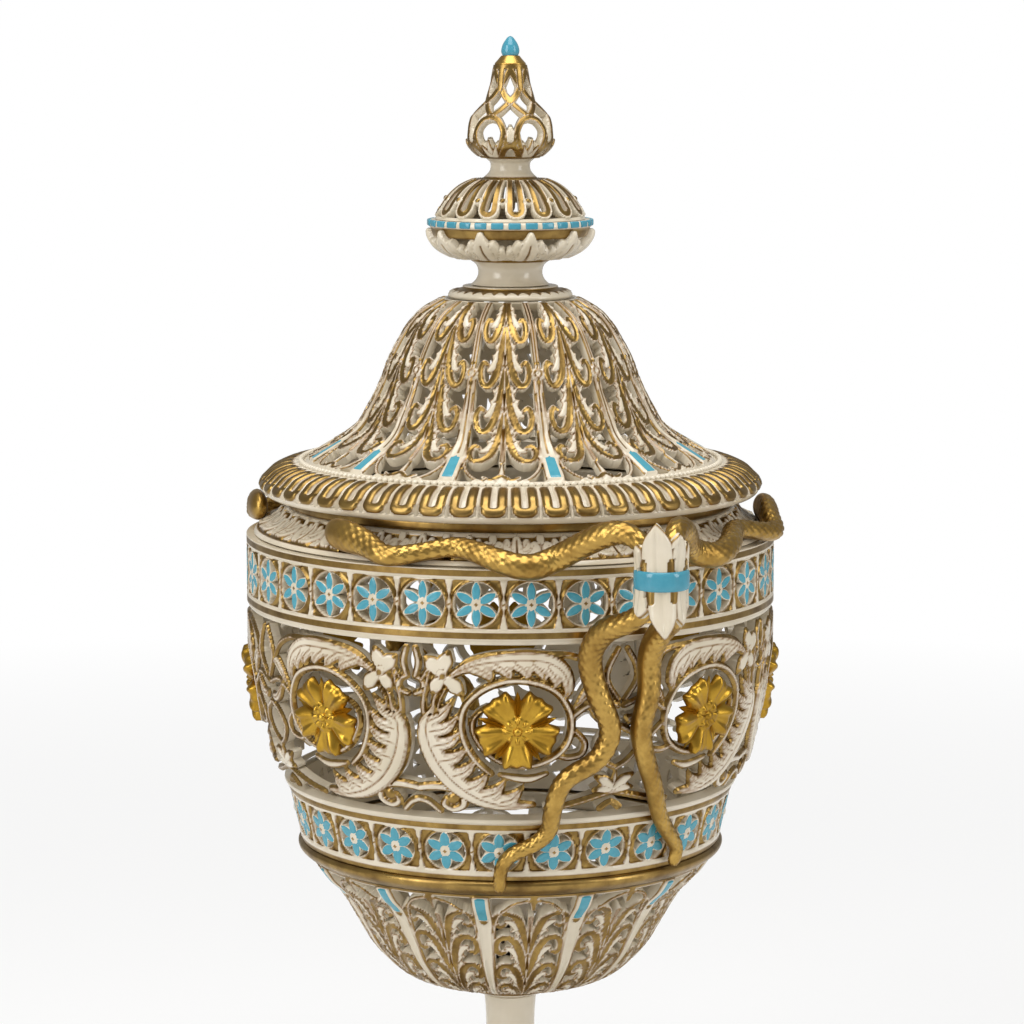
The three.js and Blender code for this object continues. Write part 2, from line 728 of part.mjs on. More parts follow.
// The ferrule: a sleeve that ends in pointed leaves, open towards the vase where the serpents leave it
function ferruleGeometry() {
  const half = ferruleSleeve / 2;
  const tip = half + ferruleLeaf;
  const sleeve = solid(turned([
    [ferruleBore, -tip], [ferruleRadius, -tip], [ferruleRadius, tip], [ferruleBore, tip],
  ], smallSegments));
  const reach = 2 * ferruleRadius;
  const notch = (azimuth, up) => {
    const v = new THREE.Shape([[0, half], [reach * 0.5, tip + reach], [-reach * 0.5, tip + reach]]
      .map(([x, z]) => new THREE.Vector2(x * 0.55, z * up)));
    const bar = new THREE.ExtrudeGeometry(v, { depth: reach, bevelEnabled: false });
    return solid(bar.rotateX(Math.PI / 2).rotateZ(Math.PI / 2).rotateZ(radians(azimuth)));
  };
  const bay = (up) => {
    const foot = half - waistRadius;
    const box = new THREE.BoxGeometry(reach, 2 * reach, 2 * ferruleLeaf + waistRadius);
    return solid(box.translate(waistRadius - reach / 2, 0, up * (foot + ferruleLeaf + waistRadius / 2)));
  };
  let cut = sleeve;
  for (const up of [1, -1]) {
    cut = cut.subtract(bay(up));
    for (const azimuth of [-22, 22]) cut = cut.subtract(notch(azimuth, up));
  }
  return meshOf(cut);
}

function makeHandle(number, azimuth) {
  const handle = new THREE.Group();
  handle.rotation.z = radians(azimuth);
  vase.add(handle);
  addPiece(handle, `serpent_${number}a`, serpentGeometry(-1), gilt());
  addPiece(handle, `serpent_${number}b`, serpentGeometry(1), gilt());
  const ferrule = addPiece(handle, `ferrule_${number}`, ferruleGeometry(), ivory());
  ferrule.position.set(handleReach, 0, ferruleLevel);
  const half = ferruleBandHeight / 2;
  const inner = ferruleRadius + gap;
  const outer = inner + ferruleBandWall;
  const bandLine = [[inner, -half], [outer, -half], [outer, half], [inner, half]];
  const band = addPiece(handle, `ferrule_band_${number}`, turned(bandLine, smallSegments), turquoise());
  band.position.copy(ferrule.position);
}

// Cover: the flange that locates it in the neck, and the rim that rests on the neck band
function makeCoverRim() {
  const flangeRadius = neckBore - flangeClearance;
  const flangeBore = flangeRadius - flangeWall;
  const flange = [
    [flangeBore, -flangeDepth],
    [flangeRadius, -flangeDepth],
    [flangeRadius, 0],
    [flangeBore, 0],
  ];
  addPiece(cover, "cover_flange", turned(flange), ivory());

  const edge = 1.2;
  const slopeFoot = [rimRadius, rimEdgeHeight];
  const slopeHead = [rimTopRadius, rimHeight];
  const plain = [
    slopeHead, [flangeBore, rimHeight], [flangeBore, 0], [rimRadius - edge, 0], [rimRadius, edge], slopeFoot,
  ];
  addPiece(cover, "cover_rim", gadrooned(plain, slopeFoot, slopeHead), ivory());
}

// A turned ring with a gadroon raised on each step of its slope. The plain outline runs from the head of the
// slope back to its foot.
function gadrooned(plain, foot, head) {
  const along = new THREE.Vector2(head[0] - foot[0], head[1] - foot[1]);
  const outward = new THREE.Vector2(along.y, -along.x).normalize().multiplyScalar(gadroonRise);
  const ridge = [0.28, 0.74].map((u) => [foot[0] + u * along.x + outward.x, foot[1] + u * along.y + outward.y]);
  const position = [];
  const face = (...corners) => {
    for (let i = 2; i < corners.length; i++) position.push(...corners[0], ...corners[i - 1], ...corners[i]);
  };
  for (let i = 0; i < gadroons; i++) {
    const at = ([r, z], step) => [...polar(r, (((i + step) % gadroons) * 360) / gadroons), z];
    for (let k = 0; k < plain.length - 1; k++) {
      face(at(plain[k], 0), at(plain[k], 1), at(plain[k + 1], 1), at(plain[k + 1], 0));
    }
    const [low, high] = ridge.map((point) => at(point, 0.5));
    face(at(foot, 0), at(foot, 1), low);
    face(at(foot, 1), at(head, 1), high, low);
    face(at(head, 1), at(head, 0), high);
    face(at(head, 0), at(foot, 0), low, high);
  }
  const geometry = new THREE.BufferGeometry();
  geometry.setAttribute("position", new THREE.Float32BufferAttribute(position, 3));
  const shared = mergeVertices(geometry, weldDistance);
  shared.computeVertexNormals();
  return shared;
}

// Dome: panels of paired leaf gaps on both sides of a stem
function makeDome() {
  const top = rimHeight + domeHeight;
  const rise = (share) => rimHeight + share * domeHeight;
  const line = new WallLine([
    [domeBaseRadius, rimHeight],
    [THREE.MathUtils.lerp(domeBaseRadius, domeShoulderRadius, 0.56), rise(0.18)],
    [THREE.MathUtils.lerp(domeBaseRadius, domeShoulderRadius, 0.82), rise(0.4)],
    [domeShoulderRadius, rise(0.63)],
    [THREE.MathUtils.lerp(domeShoulderRadius, collarRadius, 0.45), rise(0.87)],
    [collarRadius - 0.7, top],
  ]);
  const gaps = [
    [[0.12, 0.12], [0.62, 0.1], [0.66, 0.24], [0.12, 0.27]],
    [[0.12, 0.34], [0.62, 0.3], [0.64, 0.46], [0.12, 0.5]],
    [[0.13, 0.57], [0.6, 0.52], [0.6, 0.68], [0.13, 0.74]],
  ];
  const openings = () => gaps.flatMap((shape) => [-1, 1].map((side) => inShares(line, shape, side)));
  const dome = panelledWall(line, coverWall, panels, panelPhase, openings, {
    rows: 4,
    columns: 2,
    ribs: ribRise,
  });
  addPiece(cover, "cover_dome", dome, ivory());
}

// Knop: collar, neck, leaf frill, tablet band and looped crown, one above the other
function makeKnop() {
  const vent = 3;
  const collarBottom = rimHeight + domeHeight;
  const neckBottom = collarBottom + collarHeight;
  const frillBottom = neckBottom + coverNeckHeight;
  const bandBottom = frillBottom + knopFrillHeight;
  const crownBottom = bandBottom + knopBandHeight;
  const crownTop = crownBottom + knopCrownHeight;

  const step = 2.3;
  const collar = [
    [vent, collarBottom],
    [collarRadius, collarBottom],
    [collarRadius, collarBottom + 0.4 * collarHeight],
    [collarRadius - step, neckBottom],
    [vent, neckBottom],
  ];
  addPiece(cover, "dome_collar", turned(collar, smallSegments), ivory());

  const neckFlare = 2.9;
  const neck = [
    [vent, neckBottom],
    [coverNeckRadius + neckFlare, neckBottom],
    [coverNeckRadius, neckBottom + 0.4 * coverNeckHeight],
    [coverNeckRadius + 0.4, neckBottom + 0.65 * coverNeckHeight],
    [coverNeckRadius + neckFlare, frillBottom],
    [vent, frillBottom],
  ];
  addPiece(cover, "knop_neck", turned(neck, smallSegments), ivory());

  const frillLine = new WallLine([
    [coverNeckRadius + neckFlare + 0.6, frillBottom],
    [knopRadius - 4, frillBottom + 0.32 * knopFrillHeight],
    [knopRadius - 1, bandBottom],
  ]);
  const slit = [[-0.3, 0.84], [0, 0.34], [0.3, 0.84]];
  const floor = frillBottom + finialWall;
  const frill = panelledWall(frillLine, finialWall, frillLeaves, 0, () => [inShares(frillLine, slit)], {
    rows: 2,
    lipBelow: [[vent, frillBottom], [vent, floor]],
    innerBottom: [coverNeckRadius + neckFlare, floor],
  });
  addPiece(cover, "knop_frill", frill, ivory());

  const bandWall = 3;
  const band = [
    [knopRadius - bandWall, bandBottom],
    [knopRadius - 0.6, bandBottom],
    [knopRadius, bandBottom + 0.5 * knopBandHeight],
    [knopRadius - 0.6, crownBottom],
    [knopRadius - bandWall, crownBottom],
  ];
  addPiece(cover, "knop_band", turned(band, knopLoops), gilt());

  const finialSeat = finialNeckRadius + 3;
  const crownLine = new WallLine([
    [knopRadius - 1, crownBottom],
    [knopRadius - 5, crownBottom + 0.38 * knopCrownHeight],
    [THREE.MathUtils.lerp(knopRadius - 5, finialSeat, 0.6), crownBottom + 0.8 * knopCrownHeight],
    [finialSeat, crownTop],
  ]);
  const loop = [[-0.5, 0.14], [0.5, 0.14], [0.45, 0.68], [-0.45, 0.68]];
  const openings = () => [inShares(crownLine, loop)];
  const crown = panelledWall(crownLine, finialWall, knopLoops, 0, openings, { rows: 2 });
  addPiece(cover, "knop_crown", crown, ivory());

  makeFinial(crownTop, finialSeat);
}

// Finial: neck, openwork pear, cap and bud
function makeFinial(neckBottom, neckSeat) {
  const pearBottom = neckBottom + finialNeckHeight;
  const capBottom = pearBottom + pearHeight;
  const budBottom = capBottom + finialCapHeight;
  const vent = 2;
  const neck = [
    [vent, neckBottom],
    [neckSeat, neckBottom],
    [finialNeckRadius, neckBottom + 0.4 * finialNeckHeight],
    [finialNeckRadius + 0.6, neckBottom + 0.7 * finialNeckHeight],
    [finialNeckRadius + 2.4, pearBottom],
    [vent, pearBottom],
  ];
  addPiece(cover, "finial_neck", turned(neck, smallSegments), ivory());

  const line = new WallLine([
    [finialNeckRadius + 2, pearBottom],
    [pearRadius - 0.3, pearBottom + 0.13 * pearHeight],
    [pearRadius - 0.4, pearBottom + 0.33 * pearHeight],
    [THREE.MathUtils.lerp(pearRadius, pearTopRadius, 0.62), pearBottom + 0.56 * pearHeight],
    [pearTopRadius + 0.6, pearBottom + 0.78 * pearHeight],
    [pearTopRadius, capBottom],
  ]);
  const arch = [[-0.62, 0.14], [0.62, 0.14], [0.62, 0.32], [0, 0.46], [-0.62, 0.32]];
  const lozenge = [[0, 0.52], [0.5, 0.62], [0, 0.82], [-0.5, 0.62]];
  const openings = () => [inShares(line, arch), inShares(line, lozenge)];
  const pear = panelledWall(line, finialWall, pearArches, 0, openings, { rows: 4, columns: 2 });
  addPiece(cover, "finial_pear", pear, gilt());

  const cap = [[0, capBottom], [pearTopRadius, capBottom], [budRadius, budBottom], [0, budBottom]];
  addPiece(cover, "finial_cap", turnedSolid(cap), gilt());
  const bud = [
    [0, budBottom],
    [budRadius - 0.3, budBottom],
    [budRadius, budBottom + 0.3 * budHeight],
    [0, budBottom + budHeight],
  ];
  addPiece(cover, "finial_bud", turnedSolid(bud), turquoise());
}

// A solid turned about the axis, its outline starting and ending on it
function turnedSolid(outline) {
  const points = outline.map(([r, z]) => new THREE.Vector2(r, z));
  return new THREE.LatheGeometry(points, smallSegments).rotateX(Math.PI / 2);
}

makeFoot();
makeStem();
makeLowerBowl();
makeLowerBand();
makeScrollWall();
makeRoses();
makeUpperBand();
makeShoulder();
makeBolt();
makeHandle(1, 0);
makeHandle(2, 180);
makeCoverRim();
makeDome();
makeKnop();

export default vase;
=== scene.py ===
# %% [markdown]
# A pierced porcelain vase with two handles of paired serpents. The walls are openwork: leaf panels, flower
# bands and scrolls that were cut through the clay by hand, outlined in gold and fired again. The solids of
# the frame give every piece its place and height. This lesson gives each piece its carved surface.

# %% The frame, and the units of this lesson
import json
import math

import bmesh
import bpy
import numpy as np
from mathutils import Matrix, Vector

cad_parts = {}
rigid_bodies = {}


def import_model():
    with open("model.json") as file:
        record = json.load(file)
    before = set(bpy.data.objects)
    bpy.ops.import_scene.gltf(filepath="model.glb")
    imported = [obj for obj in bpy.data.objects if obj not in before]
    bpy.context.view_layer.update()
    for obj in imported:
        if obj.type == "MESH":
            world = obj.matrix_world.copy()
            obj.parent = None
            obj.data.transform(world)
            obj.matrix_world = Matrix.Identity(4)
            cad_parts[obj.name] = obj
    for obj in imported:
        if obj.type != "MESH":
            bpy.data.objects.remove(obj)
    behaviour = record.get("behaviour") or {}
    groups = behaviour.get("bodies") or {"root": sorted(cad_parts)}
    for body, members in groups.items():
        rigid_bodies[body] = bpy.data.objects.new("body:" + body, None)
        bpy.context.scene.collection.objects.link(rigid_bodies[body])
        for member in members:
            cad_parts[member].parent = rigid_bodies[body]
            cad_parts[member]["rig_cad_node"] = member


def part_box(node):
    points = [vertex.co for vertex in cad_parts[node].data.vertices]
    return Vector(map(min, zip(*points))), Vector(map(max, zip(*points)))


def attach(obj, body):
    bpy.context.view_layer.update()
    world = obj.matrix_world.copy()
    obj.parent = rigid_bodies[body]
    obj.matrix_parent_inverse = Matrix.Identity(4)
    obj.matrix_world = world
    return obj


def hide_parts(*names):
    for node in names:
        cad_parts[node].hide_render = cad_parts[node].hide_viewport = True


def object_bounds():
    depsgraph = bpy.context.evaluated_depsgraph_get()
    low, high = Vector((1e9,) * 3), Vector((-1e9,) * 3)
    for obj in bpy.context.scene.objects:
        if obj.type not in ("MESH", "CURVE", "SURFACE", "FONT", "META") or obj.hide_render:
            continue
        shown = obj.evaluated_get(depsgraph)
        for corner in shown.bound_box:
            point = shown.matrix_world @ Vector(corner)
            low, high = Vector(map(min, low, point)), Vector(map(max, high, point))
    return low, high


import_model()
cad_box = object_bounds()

MM = 0.001  # all shapes are worked out in millimetres and written in metres


def levels(node):
    """The lowest and the highest level of a piece of the frame, in millimetres."""
    low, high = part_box(node)
    return low[2] / MM, high[2] / MM


# No relief of the body stands out further than its solids.
body_reach = cad_box[1][1] / MM - 0.06
print("The vase stands", round(levels("finial_bud")[1], 1), "mm high")

# %% [markdown]
# The camera stands where the photographer stood: about a metre away, a little above the vase, with a long
# lens. A long lens keeps the ellipses of the rims flat. It comes first, as it settles what is looked at.

# %% Camera at the photograph's viewing angle
camera_distance = 1077
camera_height = 372.7
camera_azimuth = -24
camera_tilt = 7.8
axis_offset = 1.7 / 1024  # the vase's axis lies a little left of the picture's middle

camera = bpy.data.objects.new("camera", bpy.data.cameras.new("camera"))
camera.data.lens = 126.2
camera.data.shift_x = axis_offset
camera.data.clip_start = 0.05
camera.data.clip_end = 20
camera.location = [
    camera_distance * math.cos(math.radians(camera_azimuth)) * MM,
    camera_distance * math.sin(math.radians(camera_azimuth)) * MM,
    camera_height * MM,
]
camera.rotation_euler = (math.radians(90 - camera_tilt), 0, math.radians(90 + camera_azimuth))
bpy.context.collection.objects.link(camera)
bpy.context.scene.camera = camera
print("Camera", [round(v, 3) for v in camera.location])

# %% [markdown]
# A pierced wall is a flat pattern bent round the vase. To carve it, every point of a fine grid is asked four
# things: how deep it lies inside the clay, how far it is raised, whether it is gilt and whether it is
# enamelled. All four are distances in millimetres, so a line can be much thinner than a step of the grid.

# %% Smooth lines and rounded corners
def smooth(points, count):
    """Points along a smooth curve that passes through a few chosen ones."""
    p = np.asarray(points, float)
    ends = np.vstack([2 * p[0] - p[1], p, 2 * p[-1] - p[-2]])
    t = np.linspace(0, len(p) - 1, count)
    i = np.minimum(t.astype(int), len(p) - 2)
    f = (t - i).reshape(-1, 1)
    a, b, c, d = (ends[i + k] for k in range(4))
    return b + 0.5 * f * (c - a + f * (2 * a - 5 * b + 4 * c - d + f * (3 * (b - c) + d - a)))


def uneven(*stops):
    """Places along a line, as shares of it: so many rows up to each share in turn."""
    places = [0.0]
    for share, rows in stops:
        places.extend(np.linspace(places[-1], share, rows + 1)[1:])
    return np.array(places)


def softened(corners, rounding):
    """A closed outline with its corners rounded off."""
    p = np.asarray(corners, float)
    points = []
    for before, corner, after in zip(np.roll(p, 1, 0), p, np.roll(p, -1, 0)):
        sides = [before - corner, after - corner]
        lengths = [np.linalg.norm(side) for side in sides]
        start, end = [corner + s * min(rounding, 0.45 * n) / n for s, n in zip(sides, lengths)]
        for t in (0, 0.3, 0.7, 1):
            points.append((1 - t) ** 2 * start + 2 * t * (1 - t) * corner + t * t * end)
    points.append(points[0])
    return np.array(points)


class WallLine:
    """The line that a wall follows: radius and height at steps along its length."""

    def __init__(self, points, places):
        points = np.asarray(points, float)
        steps = np.hypot(*np.diff(points, axis=0).T)
        along = np.concatenate([[0], np.cumsum(steps)])
        self.length = along[-1]
        if np.isscalar(places):
            places = np.linspace(0, 1, places + 1)
        self.along = places * self.length
        self.radius = np.interp(self.along, along, points[:, 0])
        self.height = np.interp(self.along, along, points[:, 1])
        tangent = np.stack([np.gradient(self.radius), np.gradient(self.height)])
        if np.allclose(points[0], points[-1]):
            tangent[:, 0] = tangent[:, -1] = tangent[:, 0] + tangent[:, -1]
        tangent /= np.linalg.norm(tangent, axis=0)
        self.normal = np.stack([tangent[1], -tangent[0]])

    def first_at(self, height, rows):
        """How far along the first rows the line comes to a height."""
        return float(np.interp(height, self.height[:rows], self.along[:rows]))


print("A smooth curve through three points:", smooth([(0, 0), (1, 1), (2, 0)], 5).round(2).tolist())

# %% A panel of a wall, laid flat
FAR = 9.0  # deeper or shallower than this makes no difference
LIMIT = 0.8  # the range in which the edge of gold or enamel is measured


def rounded(depth, edge):
    """0 at an outline and 1 from a distance inside it, along a quarter of a circle."""
    t = np.clip(depth / edge, 0, 1)
    return np.sqrt(1 - (1 - t) ** 2)


class Panel:
    """One panel of a wall with its four fields. x runs across from its middle, y up along the wall."""

    def __init__(self, line, count, columns, solid=-FAR):
        share = np.linspace(-1, 1, columns + 1)
        self.line = line
        self.count = count
        self.half = line.radius * math.pi / count
        self.x = share * self.half[:, None]
        self.y = line.along[:, None] + 0 * share
        self.edge = self.half[:, None] - np.abs(self.x)
        self.solid = np.full(self.x.shape, float(solid))
        self.rise = np.zeros(self.x.shape)
        self.gilt = np.full(self.x.shape, -LIMIT)
        self.enamel = np.full(self.x.shape, -LIMIT)

    def place(self, shares):
        """Points given as shares of the panel's half width and of the wall's length."""
        points = np.array(shares, float)
        points[:, 1] *= self.line.length
        points[:, 0] *= np.interp(points[:, 1], self.line.along, self.half)
        return points

    def stroke(self, path, widths, both=False):
        """How deep each point lies in a stroke that swells and tapers along a smooth path."""
        x = np.abs(self.x) if both else self.x
        points = smooth(path, 5 * (len(path) - 1) + 1)
        half = np.interp(np.linspace(0, 1, len(points)), np.linspace(0, 1, len(widths)), widths)
        depth = np.full(self.x.shape, -FAR)
        for a, b, wide, next_wide in zip(points, points[1:], half, half[1:]):
            dx, dy = b - a
            t = np.clip(((x - a[0]) * dx + (self.y - a[1]) * dy) / (dx * dx + dy * dy + 1e-9), 0, 1)
            away = np.hypot(x - a[0] - t * dx, self.y - a[1] - t * dy)
            depth = np.maximum(depth, wide + (next_wide - wide) * t - away)
        return depth

    def disc(self, x, y, radius):
        return radius - np.hypot(self.x - x, self.y - y)

    def on_edge(self, share, radius):
        """A disc on the panel's side, at a share of the wall's length."""
        return radius - np.hypot(self.edge, self.y - share * self.line.length)

    def from_rib(self, shares, widths):
        """How deep each point lies in a strip beside the panel's side, of a half width given along it."""
        return np.interp(self.y / self.line.length, shares, widths) - self.edge

    def ends(self, low, high):
        """How deep each point lies in the strips at the wall's lower and upper end."""
        return np.maximum(low - self.y, self.y - self.line.length + high)

    def lay(self, depth, rise, gilt=-LIMIT, enamel=-LIMIT):
        """Lays a shape over what is there. Outside all shapes, the nearest one's values run on."""
        own = (depth > 0) | ((self.solid <= 0) & (depth > self.solid))
        self.rise = np.where(own, rise, self.rise)
        self.gilt = np.where(own, np.clip(gilt, -LIMIT, LIMIT), self.gilt)
        self.enamel = np.where(own, np.clip(enamel, -LIMIT, LIMIT), self.enamel)
        self.solid = np.maximum(self.solid, depth)

    def mound(self, depth, low, height, edge, gilt=-LIMIT, enamel=-LIMIT):
        """Lays a shape that rises by a height over its rounded edge."""
        self.lay(depth, low + height * rounded(depth, edge), gilt, enamel)

    def gild(self, depth):
        """Adds gold inside a shape."""
        self.gilt = np.maximum(self.gilt, np.clip(depth, -LIMIT, LIMIT))

    def rib(self, depth, low, high, edge=0.9, outline=0.28):
        """A rounded white rib with a gold line along its edges."""
        self.mound(depth, low, high - low, edge, outline - depth)

    def gilded(self, depth, low, high, border):
        """A leaf with a raised white border and a gilded hollow."""
        hollow = 0.35 * np.clip((depth - border) / 0.5, 0, 1)
        self.lay(depth, low + (high - low) * rounded(depth, border) - hollow, depth - border)

    def furrow(self, depth, deep, width):
        """Sinks a groove along a line."""
        self.rise = self.rise - deep * np.clip(1 + depth / width, 0, 1)

    def keep_within(self, reach):
        """Lowers the relief where it would stand out past a radius."""
        self.rise = np.minimum(self.rise, reach - self.line.radius[:, None])


print("Fields of a panel:", ", ".join(("solid", "rise", "gilt", "enamel")))

# %% [markdown]
# A panel becomes a wall in three steps. The grid's triangles are clipped where the clay ends, so an opening
# has a smooth outline. Each remaining face gets a partner on the inner side, and every open edge is closed
# by a small wall between the two. The result is a closed body whatever the pattern is.

# %% From fields to a closed mesh
def mesh_object(name, points, faces, values=None):
    """A mesh from points in millimetres and lists of faces, with one value of each kind at each point."""
    mesh = bpy.data.meshes.new(name)
    mesh.vertices.add(len(points))
    mesh.vertices.foreach_set("co", (points * MM).astype(np.float32).ravel())
    corners = np.concatenate([f.ravel() for f in faces]).astype(np.int32)
    sizes = np.concatenate([np.full(len(f), f.shape[1]) for f in faces])
    mesh.loops.add(len(corners))
    mesh.loops.foreach_set("vertex_index", corners)
    mesh.polygons.add(len(sizes))
    mesh.polygons.foreach_set("loop_start", (np.cumsum(sizes) - sizes).astype(np.int32))
    mesh.update(calc_edges=True)
    for kind, value in (values or {}).items():
        layer = mesh.attributes.new(kind, "FLOAT", "POINT")
        layer.data.foreach_set("value", np.asarray(value, np.float32))
    mesh.polygons.foreach_set("use_smooth", np.ones(len(sizes), bool))
    mesh.set_sharp_from_angle(angle=math.radians(48))
    piece = bpy.data.objects.new(name, mesh)
    bpy.context.collection.objects.link(piece)
    return piece


def clip(triangles, solid):
    """Cuts triangles where the clay ends. Gives the faces, and each new point as two ends and a share."""
    inside = solid[triangles] > 0
    count = inside.sum(1)

    def turned_to(rows, wanted):
        first = np.argmax(inside[rows] == wanted, axis=1)
        order = (first[:, None] + np.arange(3)) % 3
        return np.take_along_axis(triangles[rows], order, axis=1)

    one = turned_to(count == 1, True)
    two = turned_to(count == 2, False)
    edges = np.concatenate([one[:, [0, 1]], one[:, [0, 2]], two[:, [0, 1]], two[:, [0, 2]]])
    unique, index = np.unique(np.sort(edges, axis=1), axis=0, return_inverse=True)
    index = index.reshape(-1) + len(solid)
    n, m = len(one), len(two)
    p, q, r, s = np.split(index, [n, 2 * n, 2 * n + m])
    faces = np.concatenate([
        triangles[count == 3],
        np.stack([one[:, 0], p, q], 1),
        np.stack([r, two[:, 1], two[:, 2]], 1),
        np.stack([r, two[:, 2], s], 1),
    ])
    ends = solid[unique]
    share = np.clip(ends[:, 0] / (ends[:, 0] - ends[:, 1]), 0.06, 0.94)
    return faces, unique, share


def pierced_mesh(name, line, azimuths, fields, thickness, closed=False, centre=(0, 0)):
    """A wall bent round an axis: columns of the fields stand at the azimuths, given in degrees."""
    rows, columns = fields["solid"].shape
    index = np.arange(rows * columns).reshape(rows, columns)
    right = np.roll(index, -1, 1) if closed else index[:, 1:]
    left = index if closed else index[:, :-1]
    a, b, c, d = left[:-1].ravel(), right[:-1].ravel(), right[1:].ravel(), left[1:].ravel()
    triangles = np.concatenate([np.stack([a, b, c], 1), np.stack([a, c, d], 1)])
    faces, cut, share = clip(triangles, fields["solid"].ravel())

    turn = np.radians(azimuths)
    floor, ceiling = line.height.min(), line.height.max()

    def with_cuts(values, shares):
        return np.concatenate([values, values[cut[:, 0]] + (values[cut[:, 1]] - values[cut[:, 0]]) * shares])

    def bent(offset):
        radius = line.radius[:, None] + line.normal[0][:, None] * offset
        height = np.clip(line.height[:, None] + line.normal[1][:, None] * offset, floor, ceiling)
        x, y = centre[0] + radius * np.cos(turn), centre[1] + radius * np.sin(turn)
        return with_cuts(np.stack([x, y, height + 0 * x], 2).reshape(-1, 3), share[:, None])

    outer, inner = bent(fields["rise"]), bent(np.full_like(fields["rise"], -thickness))
    used, compact = np.unique(faces, return_inverse=True)
    faces = compact.reshape(faces.shape)
    count = len(used)
    edges = np.concatenate([faces[:, [0, 1]], faces[:, [1, 2]], faces[:, [2, 0]]])
    forward, back = edges[:, 0] * count + edges[:, 1], edges[:, 1] * count + edges[:, 0]
    start, end = edges[~np.isin(forward, back)].T
    sides = np.stack([end, start, start + count, end + count], 1)
    values = {}
    for kind in ("gilt", "enamel"):
        shown = with_cuts(fields[kind].ravel(), share)[used]
        values[kind] = np.concatenate([shown, np.full(count, -8 * LIMIT)])
    # The inner side is marked so that the porcelain can paint shade on it.
    values["inside"] = np.concatenate([np.zeros(count), np.ones(count)])
    points = np.concatenate([outer[used], inner[used]])
    return mesh_object(name, points, [faces, faces[:, ::-1] + count, sides], values)


def around(panel, mirrored=False):
    """The fields of a whole ring of panels, each second one mirrored if asked."""
    fields = {}
    for kind in ("solid", "rise", "gilt", "enamel"):
        field = getattr(panel, kind)
        cell = field[:, :-1]
        if mirrored:
            cell = np.concatenate([cell, field[:, :0:-1]], axis=1)
        fields[kind] = np.tile(cell, (1, panel.count // (2 if mirrored else 1)))
    return fields


def pierced_wall(name, panel, thickness, phase, sectors=1, mirrored=False):
    """A ring of panels as closed pieces. Panel 0 has its middle at the phase."""
    fields = around(panel, mirrored)
    columns = fields["solid"].shape[1]
    azimuths = phase - 180 / panel.count + np.arange(columns + 1) * 360 / columns
    if sectors == 1:
        return [pierced_mesh(name, panel.line, azimuths[:-1], fields, thickness, closed=True)]
    pieces = []
    for k in range(sectors):
        chosen = np.arange(k * columns // sectors, (k + 1) * columns // sectors + 1)
        part = {kind: field[:, chosen % columns] for kind, field in fields.items()}
        pieces.append(pierced_mesh(f"{name}_{k + 1}", panel.line, azimuths[chosen], part, thickness))
    return pieces


def quads_of(index):
    """The quads between the rows of a grid that closes on itself sideways."""
    right = np.roll(index, -1, 1)
    return np.stack([index[:-1].ravel(), right[:-1].ravel(), right[1:].ravel(), index[1:].ravel()], 1)


def turned_ring(name, panel):
    """A solid ring whose line closes on itself, with the panel's relief on it."""
    fields = around(panel)
    rows, columns = fields["rise"].shape
    rows -= 1
    turn = np.radians(np.arange(columns) * 360 / columns - 180 / panel.count)
    line = panel.line
    rise = fields["rise"][:-1]
    radius = line.radius[:-1, None] + line.normal[0][:-1, None] * rise
    height = line.height[:-1, None] + line.normal[1][:-1, None] * rise
    points = np.stack([radius * np.cos(turn), radius * np.sin(turn), height], 2).reshape(-1, 3)
    index = np.arange(rows * columns).reshape(rows, columns)
    values = {kind: fields[kind][:-1].ravel() for kind in ("gilt", "enamel")}
    return mesh_object(name, points, [quads_of(np.vstack([index, index[:1]]))], values)


def turned_tube(name, points, ends, sides):
    """A closed tube from rows of points, with a fan of faces at either end."""
    index = np.arange(len(points)).reshape(-1, sides)
    right = np.roll(index, -1, 1)
    first = np.full(sides, len(points))
    start = np.stack([first, right[0], index[0]], 1)
    finish = np.stack([first + 1, index[-1], right[-1]], 1)
    return mesh_object(name, np.vstack([points, ends]), [quads_of(index), start, finish])


def dress(pieces, material, body, slot, *nodes):
    """Gives pieces their material and the body they move with, and hides the solids they stand for."""
    for piece in pieces:
        piece.data.materials.append(material)
        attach(piece, body)
        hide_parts(*nodes)
    triangles = sum(len(p.data.loops) - 2 * len(p.data.polygons) for p in pieces)
    print(", ".join(p.name for p in pieces), triangles, "triangles")


# %% [markdown]
# Three finishes cover almost everything: a warm white glaze, gold that is fired onto it and burnished, and
# an opaque turquoise enamel. On the vase they meet on one piece, so one material holds all three. It reads
# the distances kept in the mesh, lets the painter's hand wander a little, and draws the brown line of the
# pen where gold meets white. Wandering and burnish are node groups, because other materials share them.

# %% Node helpers and the shared groups
def wire(tree, socket, value):
    """Links a node's input, or sets it."""
    if isinstance(value, bpy.types.NodeSocket):
        tree.links.new(value, socket)
    else:
        socket.default_value = value


def add(tree, kind, inputs=None, **settings):
    """Adds a node, sets it up and fills its inputs."""
    node = tree.nodes.new(kind)
    for key, value in settings.items():
        setattr(node, key, value)
    for key, value in (inputs or {}).items():
        wire(tree, node.inputs[key], value)
    return node


def on_object(tree):
    """Where a point lies on its piece."""
    return add(tree, "ShaderNodeTexCoord").outputs["Object"]


def mixed(tree, share, first, second):
    """One colour or another, by a share."""
    return add(tree, "ShaderNodeMix", {0: share, 6: first, 7: second}, data_type="RGBA").outputs[2]


def math_node(tree, operation, first, second=0.0):
    return add(tree, "ShaderNodeMath", {0: first, 1: second}, operation=operation).outputs[0]


def ramp(tree, value, low, high, start=0.0, end=1.0, kind="LINEAR"):
    """Stretches a range of values onto another one."""
    inputs = {0: value, 1: low, 2: high, 3: start, 4: end}
    return add(tree, "ShaderNodeMapRange", inputs, interpolation_type=kind).outputs[0]


